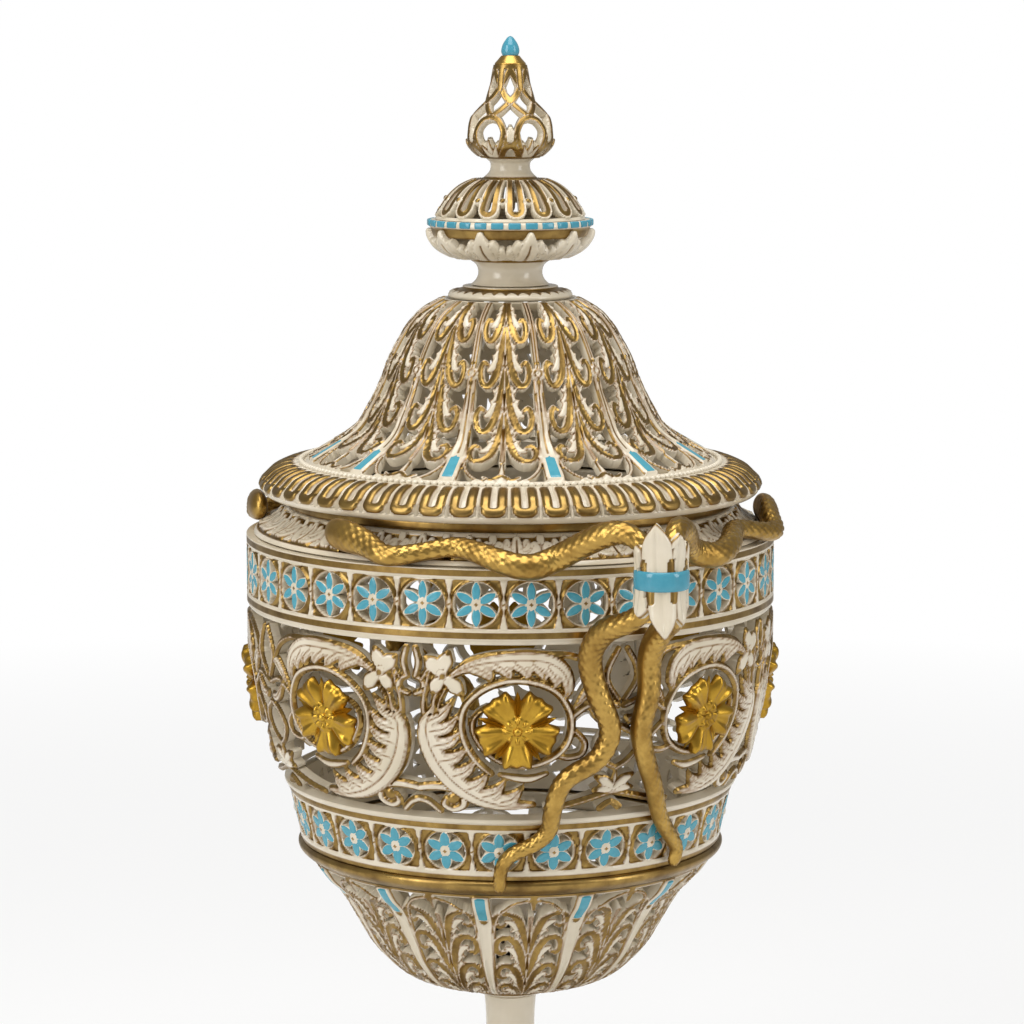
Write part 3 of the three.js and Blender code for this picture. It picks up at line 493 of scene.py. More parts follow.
def noise(tree, place, scale, detail=2.0, roughness=0.5):
    inputs = {"Vector": place, "Scale": scale, "Detail": detail, "Roughness": roughness}
    return add(tree, "ShaderNodeTexNoise", inputs).outputs["Fac"]


def group(name, inputs, outputs):
    """An empty shader node group with named sockets, and its two ends."""
    tree = bpy.data.node_groups.new(name, "ShaderNodeTree")
    for label, default in inputs.items():
        kind = "Color" if isinstance(default, tuple) else "Float"
        socket = tree.interface.new_socket(label, in_out="INPUT", socket_type="NodeSocket" + kind)
        socket.default_value = default
    for label in outputs:
        kind = "Color" if label == "Color" else "Float"
        tree.interface.new_socket(label, in_out="OUTPUT", socket_type="NodeSocket" + kind)
    return tree, tree.nodes.new("NodeGroupInput").outputs, tree.nodes.new("NodeGroupOutput").inputs


def brushed_edge_group():
    """Turns a distance into a mask with a hand-painted edge, and into the pen line beside it."""
    inputs = {"Distance": 0.0, "Wander": 0.16, "Softness": 0.05, "Line": 0.36}
    tree, given, result = group("brushed edge", inputs, ["Mask", "Pen line"])
    unsteady = math_node(tree, "SUBTRACT", noise(tree, on_object(tree), 900.0), 0.5)
    wander = math_node(tree, "MULTIPLY", unsteady, given["Wander"])
    edge = math_node(tree, "ADD", given["Distance"], wander)
    below = math_node(tree, "SUBTRACT", 0.0, given["Softness"])
    wire(tree, result["Mask"], ramp(tree, edge, below, given["Softness"], kind="SMOOTHSTEP"))
    away = math_node(tree, "ABSOLUTE", edge)
    wire(tree, result["Pen line"], ramp(tree, away, 0.0, given["Line"], 1.0, 0.0))
    return tree


def burnish_group():
    """Fired gold: brushed thin in places and rubbed bright in others."""
    inputs = {"Thin": (0.16, 0.095, 0.03, 1), "Full": (0.36, 0.235, 0.072, 1), "Scale": 140.0}
    tree, given, result = group("burnished gold", inputs, ["Color", "Roughness", "Grain"])
    place = on_object(tree)
    cloud = ramp(tree, noise(tree, place, given["Scale"], 4.0, 0.6), 0.3, 0.7)
    wire(tree, result["Color"], mixed(tree, cloud, given["Thin"], given["Full"]))
    wire(tree, result["Roughness"], ramp(tree, cloud, 0.0, 1.0, 0.42, 0.26))
    wire(tree, result["Grain"], noise(tree, place, 1900.0))
    return tree


brushed_edge = brushed_edge_group()
burnish = burnish_group()
print("Shared groups:", ", ".join(tree.name for tree in bpy.data.node_groups))

# %% The painted porcelain, plain gold and the finishes of one colour
def new_material(name):
    material = bpy.data.materials.new(name)
    material.use_nodes = True
    return material, material.node_tree, material.node_tree.nodes["Principled BSDF"]


def add_grain(tree, shader, gold, strength):
    """The fine grain of the brushed gold, as a bump."""
    inputs = {"Strength": strength, "Distance": 0.0001, "Height": gold["Grain"]}
    wire(tree, shader.inputs["Normal"], add(tree, "ShaderNodeBump", inputs).outputs[0])


def painted_porcelain(name, ivory, shade, inner, pen_brown):
    """White glaze with the gilding and the enamel that the mesh's distances give, and painted shade on the
    walls' inner side.
    """
    material, tree, shader = new_material(name)
    place = on_object(tree)
    gold = add(tree, "ShaderNodeGroup", node_tree=burnish).outputs
    masks = {}
    for kind in ("gilt", "enamel"):
        distance = add(tree, "ShaderNodeAttribute", attribute_name=kind).outputs["Fac"]
        masks[kind] = add(tree, "ShaderNodeGroup", {"Distance": distance}, node_tree=brushed_edge).outputs
    gilt = masks["gilt"]["Mask"]
    white = mixed(tree, ramp(tree, noise(tree, place, 60.0, 3.0), 0.35, 0.65), ivory, shade)
    # Painted shade: the inner side of the walls, and the cut sides that lead to it, take the darker inner
    # colour.
    inside = add(tree, "ShaderNodeAttribute", attribute_name="inside").outputs["Fac"]
    white = mixed(tree, ramp(tree, inside, 0.25, 1.0), white, inner)
    pen = math_node(tree, "MULTIPLY", masks["gilt"]["Pen line"], 0.85)
    white = mixed(tree, pen, white, pen_brown)
    turquoise = mixed(tree, noise(tree, place, 500.0), (0.04, 0.235, 0.31, 1), (0.08, 0.33, 0.41, 1))
    enamelled = mixed(tree, masks["enamel"]["Mask"], white, turquoise)
    wire(tree, shader.inputs["Base Color"], mixed(tree, gilt, enamelled, gold["Color"]))
    wire(tree, shader.inputs["Metallic"], gilt)
    glaze = ramp(tree, noise(tree, place, 300.0), 0.0, 1.0, 0.12, 0.2)
    rough = add(tree, "ShaderNodeMix", {0: gilt, 2: glaze, 3: gold["Roughness"]}).outputs[0]
    wire(tree, shader.inputs["Roughness"], rough)
    add_grain(tree, shader, gold, 0.12)
    return material


def plain_gold(name, thin, full, scale=140.0):
    """Gold over all, as on the serpents and the roses."""
    material, tree, shader = new_material(name)
    inputs = {"Thin": thin, "Full": full, "Scale": scale}
    gold = add(tree, "ShaderNodeGroup", inputs, node_tree=burnish).outputs
    for kind, source in (("Base Color", "Color"), ("Roughness", "Roughness")):
        wire(tree, shader.inputs[kind], gold[source])
    shader.inputs["Metallic"].default_value = 1.0
    add_grain(tree, shader, gold, 0.25)
    return material


def clouded(name, dark, light, cloud, roughness, metallic=0.0):
    """One colour with a noise in it. The cloud gives the noise's scale, detail and roughness."""
    material, tree, shader = new_material(name)
    wire(tree, shader.inputs["Base Color"], mixed(tree, noise(tree, on_object(tree), *cloud), dark, light))
    shader.inputs["Roughness"].default_value = roughness
    shader.inputs["Metallic"].default_value = metallic
    return material


# The third colour is painted shade for the walls' inner side; the fourth is the brown of the pen.
porcelain = painted_porcelain(
    "painted porcelain", (0.65, 0.58, 0.46, 1), (0.56, 0.49, 0.365, 1),
    (0.64, 0.56, 0.42, 1), (0.21, 0.10, 0.03, 1))
gilding = plain_gold("gilding", (0.26, 0.15, 0.035, 1), (0.50, 0.32, 0.085, 1))
matt_gold = plain_gold("matt gold of the roses", (0.30, 0.165, 0.02, 1), (0.50, 0.30, 0.04, 1), 90.0)
turquoise = clouded("turquoise enamel", (0.035, 0.215, 0.295, 1), (0.07, 0.29, 0.38, 1), (400.0, 3.0), 0.14)
white_glaze = clouded("plain white glaze", (0.68, 0.62, 0.50, 1), (0.62, 0.55, 0.43, 1), (200.0,), 0.15)
dark_steel = clouded(
    "dark steel", (0.035, 0.033, 0.03, 1), (0.09, 0.085, 0.08, 1), (350.0, 4.0, 0.65), 0.45, 1.0)
cork = clouded("cork", (0.22, 0.12, 0.05, 1), (0.5, 0.33, 0.17, 1), (900.0, 4.0, 0.65), 0.9)
print("Materials:", ", ".join(m.name for m in bpy.data.materials if m.use_nodes))

# %% [markdown]
# The dome of the cover has twelve tall panels between ribs. Each holds four tiers of paired leaves that grow
# down from the panel's middle and curl up at the rib, so a tier looks like an anchor.

# %% What the leaf panels share
def leaf_pair(panel, top, bottom, spread=1.0):
    """An anchor of two gilded leaves with white edges, and the small white leaves in their hooks."""
    def path(points):
        return panel.place([(x * spread, bottom + y * (top - bottom)) for x, y in points])

    blade = path([
        (0.03, 1.0), (0.09, 0.75), (0.16, 0.48), (0.27, 0.21), (0.45, 0.06), (0.65, 0.09), (0.74, 0.27),
        (0.66, 0.41), (0.54, 0.38),
    ])
    blade_widths = [0.55, 1.0, 1.35, 1.4, 1.25, 1.1, 1.1, 1.0, 0.85]
    panel.gilded(panel.stroke(blade, blade_widths, both=True), 0.2, 1.15, 0.38)
    for points, widths in (
        ([(0.2, 0.74), (0.27, 0.66), (0.33, 0.7)], [0.4, 0.6, 0.3]),
        ([(0.24, 0.6), (0.31, 0.5), (0.4, 0.54)], [0.5, 0.75, 0.3]),
        ([(0.28, 0.48), (0.39, 0.33), (0.5, 0.29)], [0.7, 1.05, 0.6]),
    ):
        curl = panel.stroke(path(points), widths, both=True)
        panel.mound(curl, 0.4, 0.75, 0.8, 0.04 - curl)


def middle_stem(panel, start, end, width, groove):
    """The stem of a tier. It broadens along its way, and gold lines its groove."""
    depth = panel.stroke(panel.place([(0, start), (0, end)]), [0.35, width])
    rise = 0.15 + 0.75 * rounded(depth, 0.5) - 0.5 * rounded(depth - groove, 0.3)
    panel.lay(depth, rise, 0.25 - np.abs(depth - groove - 0.15))


def fluted_rib(panel, shares, widths):
    """A rib between two panels, with a groove along it."""
    depth = panel.from_rib(shares, widths)
    panel.lay(depth, 0.3 + 0.8 * rounded(depth, 0.6) - 0.45 * rounded(depth - 0.75, 0.5), 0.2 - depth)


def enamel_tongue(panel, shares, widths, start, slope, height=0.35):
    """A tongue of enamel on the broad end of a rib. It begins at a share of the wall's length."""
    depth = np.minimum(panel.from_rib(shares, widths), (panel.y / panel.line.length - start) * slope)
    panel.mound(depth, 0.9, height, 0.7, enamel=depth - 0.1)


print("Leaf pairs, stems, ribs and tongues serve the dome, the bowl and the foot")

# %% The dome's line and its panel
dome_low, dome_high = levels("cover_dome")
dome_reach = max(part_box("cover_dome")[1][:2]) / MM
dome_shares = [
    (0, 1.0), (0.184, 0.764), (0.33, 0.682), (0.48, 0.622), (0.629, 0.577),
    (0.776, 0.515), (0.849, 0.475), (0.922, 0.417), (1.0, 0.31),
]
dome_points = [(dome_reach * r, dome_low + (dome_high - dome_low) * z) for z, r in dome_shares]
dome = Panel(WallLine(smooth(dome_points, 200), 110), 12, 44)
dome_tiers = [(1.03, 0.735), (0.82, 0.53), (0.62, 0.318), (0.42, 0.136)]
for top, bottom in dome_tiers:
    middle_stem(dome, top, bottom + 0.02, 1.05, 0.45)
for top, bottom in dome_tiers:
    leaf_pair(dome, top, bottom)
dome.rib(dome.stroke(dome.place([(0, 0.02), (0.0, 0.14)]), [1.3, 0.5]), 0.1, 0.8)
foot_leaf = dome.place([(0.02, 0.055), (0.2, 0.03), (0.34, 0.05)])
dome.gilded(dome.stroke(foot_leaf, [0.9, 0.8, 0.5], both=True), 0.1, 0.7, 0.35)
border = dome.place([(0.9, 0.6), (0.88, 0.4), (0.83, 0.2), (0.72, 0.1), (0.5, 0.035), (0.25, 0.012)])
dome.rib(dome.stroke(border, [0.45, 0.5, 0.55, 0.6, 0.6, 0.55], both=True), 0.2, 1.0, outline=0.16)

fluted_rib(dome, [0, 0.05, 0.17, 0.3, 0.56, 0.6, 1.0], [2.6, 2.9, 2.4, 1.7, 0.75, 0.95, 0.85])
above_tongue = (dome.y > 0.2 * dome.line.length) & (dome.y < dome.line.length)
dome.gild(np.where(above_tongue & (dome.edge < 0.66), 0.16 - dome.edge, -LIMIT))
enamel_tongue(dome, [0, 0.03, 0.17, 0.2], [1.7, 1.75, 1.55, -1], 0.03, 60)
boss = dome.on_edge(0.6, 1.8)
dome.lay(boss, 0.7 + 0.6 * rounded(0.8 - np.abs(boss - 0.8), 0.6), 0.2 - np.abs(boss - 0.75))
for share in (0.56, 0.645):
    bead = dome.on_edge(share, 0.6)
    dome.mound(bead, 0.9, 0.5, 0.6, bead)
dome.lay(dome.ends(1.3, 0.9), 0.3)
print("Dome panel", dome.x.shape, "solid share", round(float((dome.solid > 0).mean()), 2))

# %% The dome as two closed pieces
dress(pierced_wall("dome", dome, 2.0, 3.5, sectors=2), porcelain, "cover", "ivory_glaze", "cover_dome")

# %% [markdown]
# The lower bowl is the dome's counterpart: its leaves grow upwards out of the middle of each panel and hook
# down under an arch. The wall flares, so the cut sides of its openings show white crescents over the gold.

# %% Lower bowl
bowl_low = levels("bowl_cup")[0]
bowl_high = levels("lower_bowl")[1]
bowl_shape = [
    (19, 0), (26.2, 0.6), (33.9, 3.9), (41.5, 11.5), (46.1, 19.1), (49.3, 24.7), (53.2, 30.4), (57.3, 34.2),
]
bowl_points = [(radius, bowl_low + rise) for radius, rise in bowl_shape] + [(60.5, bowl_high)]
bowl = Panel(WallLine(smooth(bowl_points, 200), 94), 12, 46)
bowl_tiers = [(0.88, 0.58), (0.69, 0.4), (0.5, 0.235), (0.335, 0.11), (0.2, 0.0)]
for top, bottom in bowl_tiers:
    middle_stem(bowl, bottom, top - 0.06, 0.95, 0.4)
for top, bottom in bowl_tiers[::-1]:
    leaf_pair(bowl, bottom - 0.01, top, 1.05)
arch = bowl.place([
    (0.84, 0.2), (0.86, 0.45), (0.82, 0.68), (0.66, 0.84), (0.4, 0.93), (0.12, 0.96), (0, 0.965),
])
bowl.rib(bowl.stroke(arch, [0.5, 0.5, 0.55, 0.55, 0.55, 0.55, 0.5], both=True), 0.2, 1.0, outline=0.2)
bowl.gilded(bowl.stroke(bowl.place([(0.02, 0.9), (0.0, 0.98)]), [0.6, 1.2]), 0.1, 0.9, 0.3)
fluted_rib(bowl, [0, 0.1, 0.25, 0.45, 0.7, 0.76, 1.0], [1.1, 1.0, 1.1, 1.6, 2.2, 2.6, 2.7])
enamel_tongue(bowl, [0, 0.79, 0.83, 1.0], [-1, 1.3, 1.5, 1.75], 0.8, 50)
gold_tip = bowl.on_edge(0.785, 1.2)
bowl.mound(gold_tip, 0.8, 0.5, 1, gold_tip)
bowl.lay(bowl.ends(1.1, 1.2), 0.3, bowl.y - bowl.line.length + 0.8)
gold_foot = 3.2 - bowl.y
bowl.mound(gold_foot, 0.4, 0.5, 1.2, gold_foot - 0.1)
bowl_pieces = pierced_wall("bowl", bowl, 2.2, 12.5, sectors=2)
dress(bowl_pieces, porcelain, "vase", "ivory_glaze", "lower_bowl", "bowl_cup")

# %% [markdown]
# Two bands of six-petalled flowers run round the body. The gaps between the petals are open, and the gold
# corners between two flowers pinch a white post to a narrow waist.

# %% Flower bands
def flower_band(name, node, radii, grid, count, phase, ring, petal_half, lines):
    """A band between two radii, with a count of flowers of a ring's radius and gold lines at its ends."""
    rows, columns = grid
    line = WallLine(list(zip(radii, levels(node))), rows)
    band = Panel(line, count, columns)
    middle = line.length / 2
    x, y = band.x, band.y - middle

    corner = np.hypot(x, y) - ring
    hollow = 0.7 * rounded(corner - 0.75, 0.6)
    band.lay(corner, 0.75 * rounded(corner, 0.4) - hollow, corner - 0.42)
    gold_under = band.gilt.copy()
    post = np.interp(np.abs(y), [0, 1.0, 2.2, ring], [0.55, 0.55, 0.25, 1.1]) - band.edge
    band.mound(post, 0.35, 0.5, 0.4)
    band.gilt = np.minimum(gold_under, np.clip(-post, -LIMIT, LIMIT))
    knot = band.on_edge(0.5, 0.42)
    band.mound(knot, 0.5, 0.4, 0.4, knot)

    eye_reach, petal_reach = 0.9, ring + 0.25
    for k in range(6):
        turn = math.radians(90 + 60 * k)
        along = x * math.cos(turn) + y * math.sin(turn)
        across = np.abs(y * math.cos(turn) - x * math.sin(turn))
        place = np.clip((along - eye_reach) / (petal_reach - eye_reach), 0, 1)
        width = petal_half * np.sin(np.pi * place ** 0.9) ** 0.6
        petal = np.where(place > 0, width - across, -np.hypot(along - eye_reach, across))
        petal = np.minimum(petal, petal_reach - along)
        vein = 0.18 * rounded(0.3 - across, 0.3)
        band.lay(petal, 0.25 + 0.55 * rounded(petal, 0.8) - vein, enamel=petal - 0.2)
    band.mound(band.disc(0, middle, 1.5), 0.6, 0.5, 1.2)
    dot = band.disc(0, middle, 0.55)
    band.lay(dot, 1.2, dot)

    for side in (1, -1):
        inwards = middle - side * y
        lip = 2.9 - inwards
        band.mound(lip, 0.35, 0.5, 0.5, -LIMIT if side in lines else 1.4 - inwards)
        if side in lines:
            bead = 0.85 - np.abs(inwards - 1.15)
            band.mound(bead, 0.5, 0.5, 0.8, bead + 0.12)
    band.keep_within(body_reach)
    dress(pierced_wall(name, band, 2.8, phase, sectors=2), porcelain, "vase", "ivory_glaze", node)


flower_band("upper_band", "upper_flower_band", (79, 79), (42, 32), 32, 2.8, 6.35, 1.38, (1, -1))
flower_band("lower_band", "lower_flower_band", (63, 67), (40, 30), 26, 0.9, 5.85, 1.62, (1,))

# %% [markdown]
# The scroll wall holds eight roundels. A stem winds round each rose, a large leaf sweeps up on one side of
# it and a feathered one lies over the top. Every second roundel is a mirror image, so leaves meet in pairs.

# %% Scroll wall: its line, and what is laid on it
wall_low, wall_high = levels("scroll_wall")
wall_shape = [(68, 0), (70.9, 6.5), (73, 14), (75, 21.4), (76.6, 28.9), (78.4, 43.7)]
wall_points = [(radius, wall_low + rise) for radius, rise in wall_shape] + [(78.8, wall_high)]
wall = Panel(WallLine(smooth(wall_points, 200), 98), 8, 100)
rose_middle = sum(levels("rose_1")) / 2
centre = float(np.interp(rose_middle + 1.2, wall.line.height, wall.line.along))
print("Along its curve the scroll wall is", round(wall.line.length, 1), "mm long")


def at_roundel(points):
    """Points in millimetres from the roundel's centre, with x towards the handle's side."""
    return np.array(points, float) + (0, centre)


def stem(points, widths, low=0.1, high=1.1, outline=0.3):
    """A round stem. A single width holds for its whole length."""
    widths = np.atleast_1d(widths) * 1.2
    widths = np.resize(widths, max(len(widths), 2))
    wall.rib(wall.stroke(at_roundel(points), widths), low, high, 0.85, outline)


def leaf(points, widths, low=0.2, high=1.4, vein=True):
    """A white leaf with a gold edge and a vein along its middle."""
    path = at_roundel(points)
    depth = wall.stroke(path, widths)
    rise = low + (high - low) * rounded(depth, 1.3)
    gilt = 0.2 - depth
    if vein:
        line = wall.stroke(path, [0.16, 0.16])
        rise = rise - 0.3 * np.clip(1 + line / 0.5, 0, 1)
        gilt = np.maximum(gilt, line)
    wall.lay(depth, rise, gilt)


def acanthus(body, body_widths, lobes, lobe_widths, low, high):
    """A broad white leaf with side lobes. Its outer edge is gold, and a brown vein runs down each part."""
    whole = np.full(wall.x.shape, -FAR)
    veins = np.full(wall.x.shape, -LIMIT)
    rise = np.full(wall.x.shape, low)
    for points, widths in [(body, body_widths)] + [(lobe, lobe_widths) for lobe in lobes]:
        path = at_roundel(points)
        depth = wall.stroke(path, widths)
        line = wall.stroke(path, [0.0, 0.0])
        height = low + (high - low) * rounded(depth, 1.8) - 0.6 * np.clip(1 + line / 0.6, 0, 1)
        rise = np.where(depth > 0, np.maximum(rise, height), rise)
        whole = np.maximum(whole, depth)
        veins = np.maximum(veins, line + 0.1)
    inner_line = -0.05 - np.abs(whole - 0.85)
    wall.lay(whole, rise, np.maximum(np.maximum(0.24 - whole, veins), inner_line))


def petal(points, widths):
    """A white petal with a thin gold edge and a gold tip."""
    path = at_roundel(points)
    depth = wall.stroke(path, widths)
    wall.mound(depth, 0.4, 0.9, 0.9, np.maximum(0.12 - depth, wall.disc(*path[-1], 0.75)))


# %% Scroll wall: outer stems and small leaves
stem([(8, 21.9), (0, 22.2), (-8, 21.6), (-14, 19.8), (-18, 16.5)], [0.5, 0.5, 0.5, 0.5, 0.4], 0.1, 0.7, 0.6)
stem([(8, 21.9), (15, 21.3), (21, 18.6), (24.5, 14.5)], [0.5, 0.55, 0.6, 0.5], 0.1, 0.8, 0.45)
stem([
    (-29.5, -19.4), (-24, -18.5), (-19, -18.8), (-15.6, -21), (-15.2, -24), (-18, -25.6), (-20.8, -24.2),
    (-20.4, -22.2),
], [0.85, 0.9, 0.95, 0.95, 0.9, 0.8, 0.75, 0.5])
curl = wall.disc(-18.2, centre - 22.2, 1.7)
wall.mound(curl, 0.3, 0.9, 1.4, curl)
for points, widths, high, outline in (
    ([(-29.5, -22.6), (-25.5, -23.6), (-22, -26.6)], [0.7, 0.7, 0.6], 1.1, 0.3),
    ([(8.5, -25.6), (14, -24.6), (20, -23), (25, -21.6), (29.5, -20.6)], 0.6, 0.9, 0.5),
    ([(24.4, -26.5), (26.6, -24.8), (29.5, -23.8)], [0.6, 0.55, 0.55], 0.9, 2),
    ([(16.4, -1), (19.4, -4.5), (18.6, -8.2), (14.5, -9.2), (11, -8)], [0.55, 0.6, 0.6, 0.6, 0.5], 0.9, 0.3),
    ([(29.4, -13.6), (25.8, -11.4), (23.2, -7.4), (25, -3.2), (29.5, -0.5)],
     [0.5, 0.55, 0.55, 0.55, 0.6], 0.9, 0.3),
    ([(29.5, 22.5), (26.6, 17.5), (26.2, 13), (29.5, 7.6)], [0.5, 0.6, 0.6, 0.5], 1.0, 0.3),
    ([(15.3, 3), (19.5, 6), (23.5, 7.6), (29.5, 5.8)], [0.6, 0.6, 0.55, 0.5], 0.9, 0.3),
):
    stem(points, widths, 0.1, high, outline)
leaf([(16.5, 6), (20, 10.5), (22.6, 13), (25, 12.6)], [0.5, 1.5, 1.6, 0.6])
leaf([(20, 8), (23.4, 3), (26.4, 1.5), (28.4, 2.4)], [0.5, 1.2, 1.3, 0.5])
stem([(-29.5, 9.8), (-27.6, 10.6), (-27, 12.4), (-27.8, 14.2), (-29.5, 15)], 0.6)
stem([(-27.6, 14), (-26, 16.6), (-24.4, 18.6)], [0.5, 0.55, 0.5], 0.1, 0.9)
stem([(-29.5, 15), (-28.6, 19), (-29.5, 23)], [0.6, 0.7, 0.6], 0.1, 0.9)
stem([(-25.4, 16), (-27, 8), (-26.6, 2.6), (-25, -2)], [0.5, 0.6, 0.6, 0.5])
leaf([(-4.8, -14.2), (0, -15.3), (4, -15.5), (8.4, -14)], [0.5, 1.0, 1.0, 0.5], 0.1, 0.9, vein=False)
print("So far clay covers", round(100 * float((wall.solid > 0).mean())), "% of a panel")

# %% Scroll wall: the two large leaves, the winding stem and the buds
acanthus(
    [(4.6, -23.8), (-3, -23.5), (-10.4, -21.4), (-17.2, -16.8), (-22.2, -10.6), (-25.2, -4), (-25.8, 1),
     (-24.2, 5.6)],
    [0.7, 1.8, 2.6, 3.2, 3.5, 3.3, 2.6, 0.9],
    [
        [(-25, 2.4), (-21.4, 4.4), (-18.2, 8.6)], [(-24.6, -0.8), (-20, 0.4), (-16.4, 4.4)],
        [(-23.6, -5), (-19, -3.8), (-15.4, 0)], [(-21.6, -9.6), (-17.4, -8.6), (-13.8, -5)],
        [(-18, -14.2), (-14.4, -12.8), (-11.6, -8.8)], [(-14, -18.4), (-10.6, -16.8), (-8, -12.8)],
        [(-9.6, -20.6), (-6, -19.4), (-3.4, -15.8)], [(-4.4, -22.2), (-1.2, -21.2), (1.6, -18)],
    ],
    [2.3, 1.9, 0.25], 0.3, 2.0)
acanthus(
    [(-19.4, 15.4), (-15, 17.8), (-9.6, 19.4), (-3.4, 20.2), (2.8, 20.4), (8.6, 19.6), (12.8, 16.8),
     (14.4, 12.6), (13.8, 9.4)],
    [0.7, 1.4, 2.0, 2.4, 2.6, 2.6, 2.3, 1.7, 0.6],
    [
        [(-12.6, 18.4), (-8.6, 16.6), (-7, 14.2)], [(-6.4, 19.4), (-3, 17.2), (-2, 14.6)],
        [(-0.8, 19.6), (2.4, 17.2), (3, 14.6)], [(4.2, 19.4), (7.2, 16.8), (7.4, 13.6)],
        [(8.6, 18.4), (10.8, 15), (10.6, 12)],
    ],
    [2.0, 1.75, 0.3], 0.3, 1.9)
winding = [
    (-7.4, -13.8), (-11.8, -9.6), (-15, -3.8), (-16, 1.6), (-14.6, 7), (-9.6, 11.8), (-2.4, 14.4), (5, 13.8),
    (11.2, 10.8), (14.8, 5.2), (15.4, 0), (13.8, -5.2), (9.4, -9.2), (3, -11.2), (-3.2, -10.4), (-8.4, -7.2),
    (-12, -2.2), (-12.7, 1.8), (-11.3, 4.6), (-8.8, 6.2),
]
tapering = [0.74, 0.72, 0.7, 0.7, 0.66, 0.62, 0.6, 0.5, 0.4]
stem(winding, [0.6] + [0.76] * 10 + tapering, 0.3, 1.5, 0.4)
stem([(-22.4, 12), (-23.8, 8.4), (-24.2, 4.2)], [0.5, 0.55, 0.6])
stem([(-20.6, 11.5), (-22.2, 8), (-22.8, 5)], [0.45, 0.45, 0.5])
for points, widths in (
    ([(-22.3, 16.6), (-24.2, 18.6), (-26.2, 20.4)], [1.5, 2.2, 0.5]),
    ([(-21.3, 17), (-20.6, 19.6), (-19.6, 22.2)], [1.4, 2.1, 0.5]),
    ([(-21.6, 14.8), (-23.2, 12.6), (-24, 10.4)], [1.5, 2.0, 0.6]),
    ([(-20.1, 14.6), (-17.8, 12.6), (-15.9, 10.4)], [1.4, 2.1, 0.7]),
    ([(-21.8, 16.2), (-21.2, 15.4)], [1.5, 1.5]),
    ([(28.4, -19.8), (25.4, -19.6), (22.4, -20)], [0.9, 1.3, 0.4]),
    ([(28.4, -19.4), (25.6, -17.2), (23, -15.8)], [0.9, 1.5, 0.4]),
    ([(29.6, -20), (29.6, -16.4), (29.6, -13.4)], [1.0, 1.6, 0.5]),
):
    petal(points, widths)
wall.solid = wall.solid + 0.35
wall.mound(wall.ends(1.5, 1.5), 0, 0.5, 0.6)
wall.keep_within(body_reach)
wall_pieces = pierced_wall("scroll_wall", wall, 2.7, -22.5, sectors=4, mirrored=True)
dress(wall_pieces, porcelain, "vase", "ivory_glaze", "scroll_wall")

# %% [markdown]
# Between the pierced walls sit turned rings. Each is a closed outline carried once round the axis, with its
# ornament raised on it: the gadroons of the rim, the leaves of the shoulder, the scallops of the collar.

# %% Turned rings
def ring_panel(outline, count, columns, places, rounding=0.5):
    """A panel on a closed outline, which runs outwards along the bottom, up, and back along the top."""
    return Panel(WallLine(softened(outline, rounding), places), count, columns, solid=0.01)


def plain_ring(name, outline, body, node=None, gold=None, columns=128, rounding=0.5, slot="ivory_glaze"):
    """A ring without relief, gilt between two levels outside its inner wall."""
    rows = 36
    panel = ring_panel(outline, 1, columns, rows, rounding)
    if gold:
        height = panel.line.height[:, None] + 0 * panel.x
        outside = panel.line.normal[0][:, None] + 0 * panel.x > -0.5
        panel.gild(np.where(outside, np.minimum(height - gold[0], gold[1] - height), -LIMIT))
    dress([turned_ring(name, panel)], porcelain, body, slot, node or name)


low, high = levels("bowl_girdle")
plain_ring("girdle", [
    (57.5, low), (61.3, low), (62.8, low + 0.9), (64.6, low + 2.4), (65, low + 4), (63.9, high), (58, high),
], "vase", "bowl_girdle", (low - 1, high + 1), rounding=1.0, slot="gilding")
low, high = levels("bowl_ring")
plain_ring("bowl_ring", [
    (3.6, low), (11.5, low), (13.4, low + 1), (13.6, low + 2), (15.4, low + 2.4), (15.8, low + 3.6),
    (17, low + 3.9), (17, high), (3.6, high),
], "vase", gold=(low + 0.9, high + 1), rounding=0.6, slot="gilding")
low, high = levels("neck_band")
plain_ring("neck_band", [
    (62, low), (67, low), (67.4, low + 0.5), (67.4, high - 0.6), (66.9, high), (62, high),
], "vase", gold=(low - 1, high + 1), rounding=0.4, slot="gilding")
low, high = levels("cover_flange")
plain_ring("flange", [(57.6, low), (61.2, low), (61.2, high), (57.6, high)], "cover", "cover_flange")
low, high = levels("knop_neck")
plain_ring("knop_neck", [
    (3, low), (12.4, low), (10.6, low + 1.2), (9.6, low + 3), (9.6, low + 5), (10.4, low + 6.6),
    (12.2, high - 0.6), (12.4, high), (3, high),
], "cover", gold=(high - 0.75, high + 1), rounding=1.2)
low, high = levels("finial_neck")
low, high = low - 0.8, high - 2
plain_ring("finial_neck", [
    (2, low), (8.7, low), (7.4, low + 1), (6.1, low + 2.4), (5.8, low + 3.8), (6, high - 1),
    (7.2, high - 0.4), (7.2, high), (2, high),
], "cover", gold=(low - 1, low + 0.7), rounding=0.9, columns=96)

# %% Cover rim: a ring of U-shaped gadroons inside a white lip
low, high = levels("cover_rim")
rim_outline = [
    (57.6, low), (73.6, low), (74.9, low + 0.9), (75.3, low + 2.4), (74.9, low + 3.9), (74, low + 4.7),
    (71.6, low + 7.1), (68.4, low + 8.5), (65.2, low + 9.1), (64.6, high), (57.6, high),
]
rim = ring_panel(rim_outline, 52, 16, uneven((0.3, 4), (0.64, 34), (1.0, 7)), 0.8)
up = rim.y - rim.line.first_at(low + 2.1, len(rim.y) // 2)
on_slope = (up > -0.2) & (up < 13.7)
arm = 0.54 * rim.half[:, None]
turn_centre = 1.2 + 0.58 * rim.half.max()
squareness = 2.8
below = np.minimum(up - turn_centre, 0)
from_middle = (np.abs(rim.x) ** squareness + np.abs(below) ** squareness) ** (1 / squareness)
loop = np.where(on_slope, 1.5 - np.abs(from_middle - arm), -FAR)
fillet = np.where(on_slope, 0.5 - rim.edge, -FAR)
rim.rise = np.where(on_slope, -0.85, rim.rise)
rim.mound(fillet, -0.2, 0.75, 0.6)
rim.mound(loop, -0.2, 1.05, 1.0, loop - 0.1)
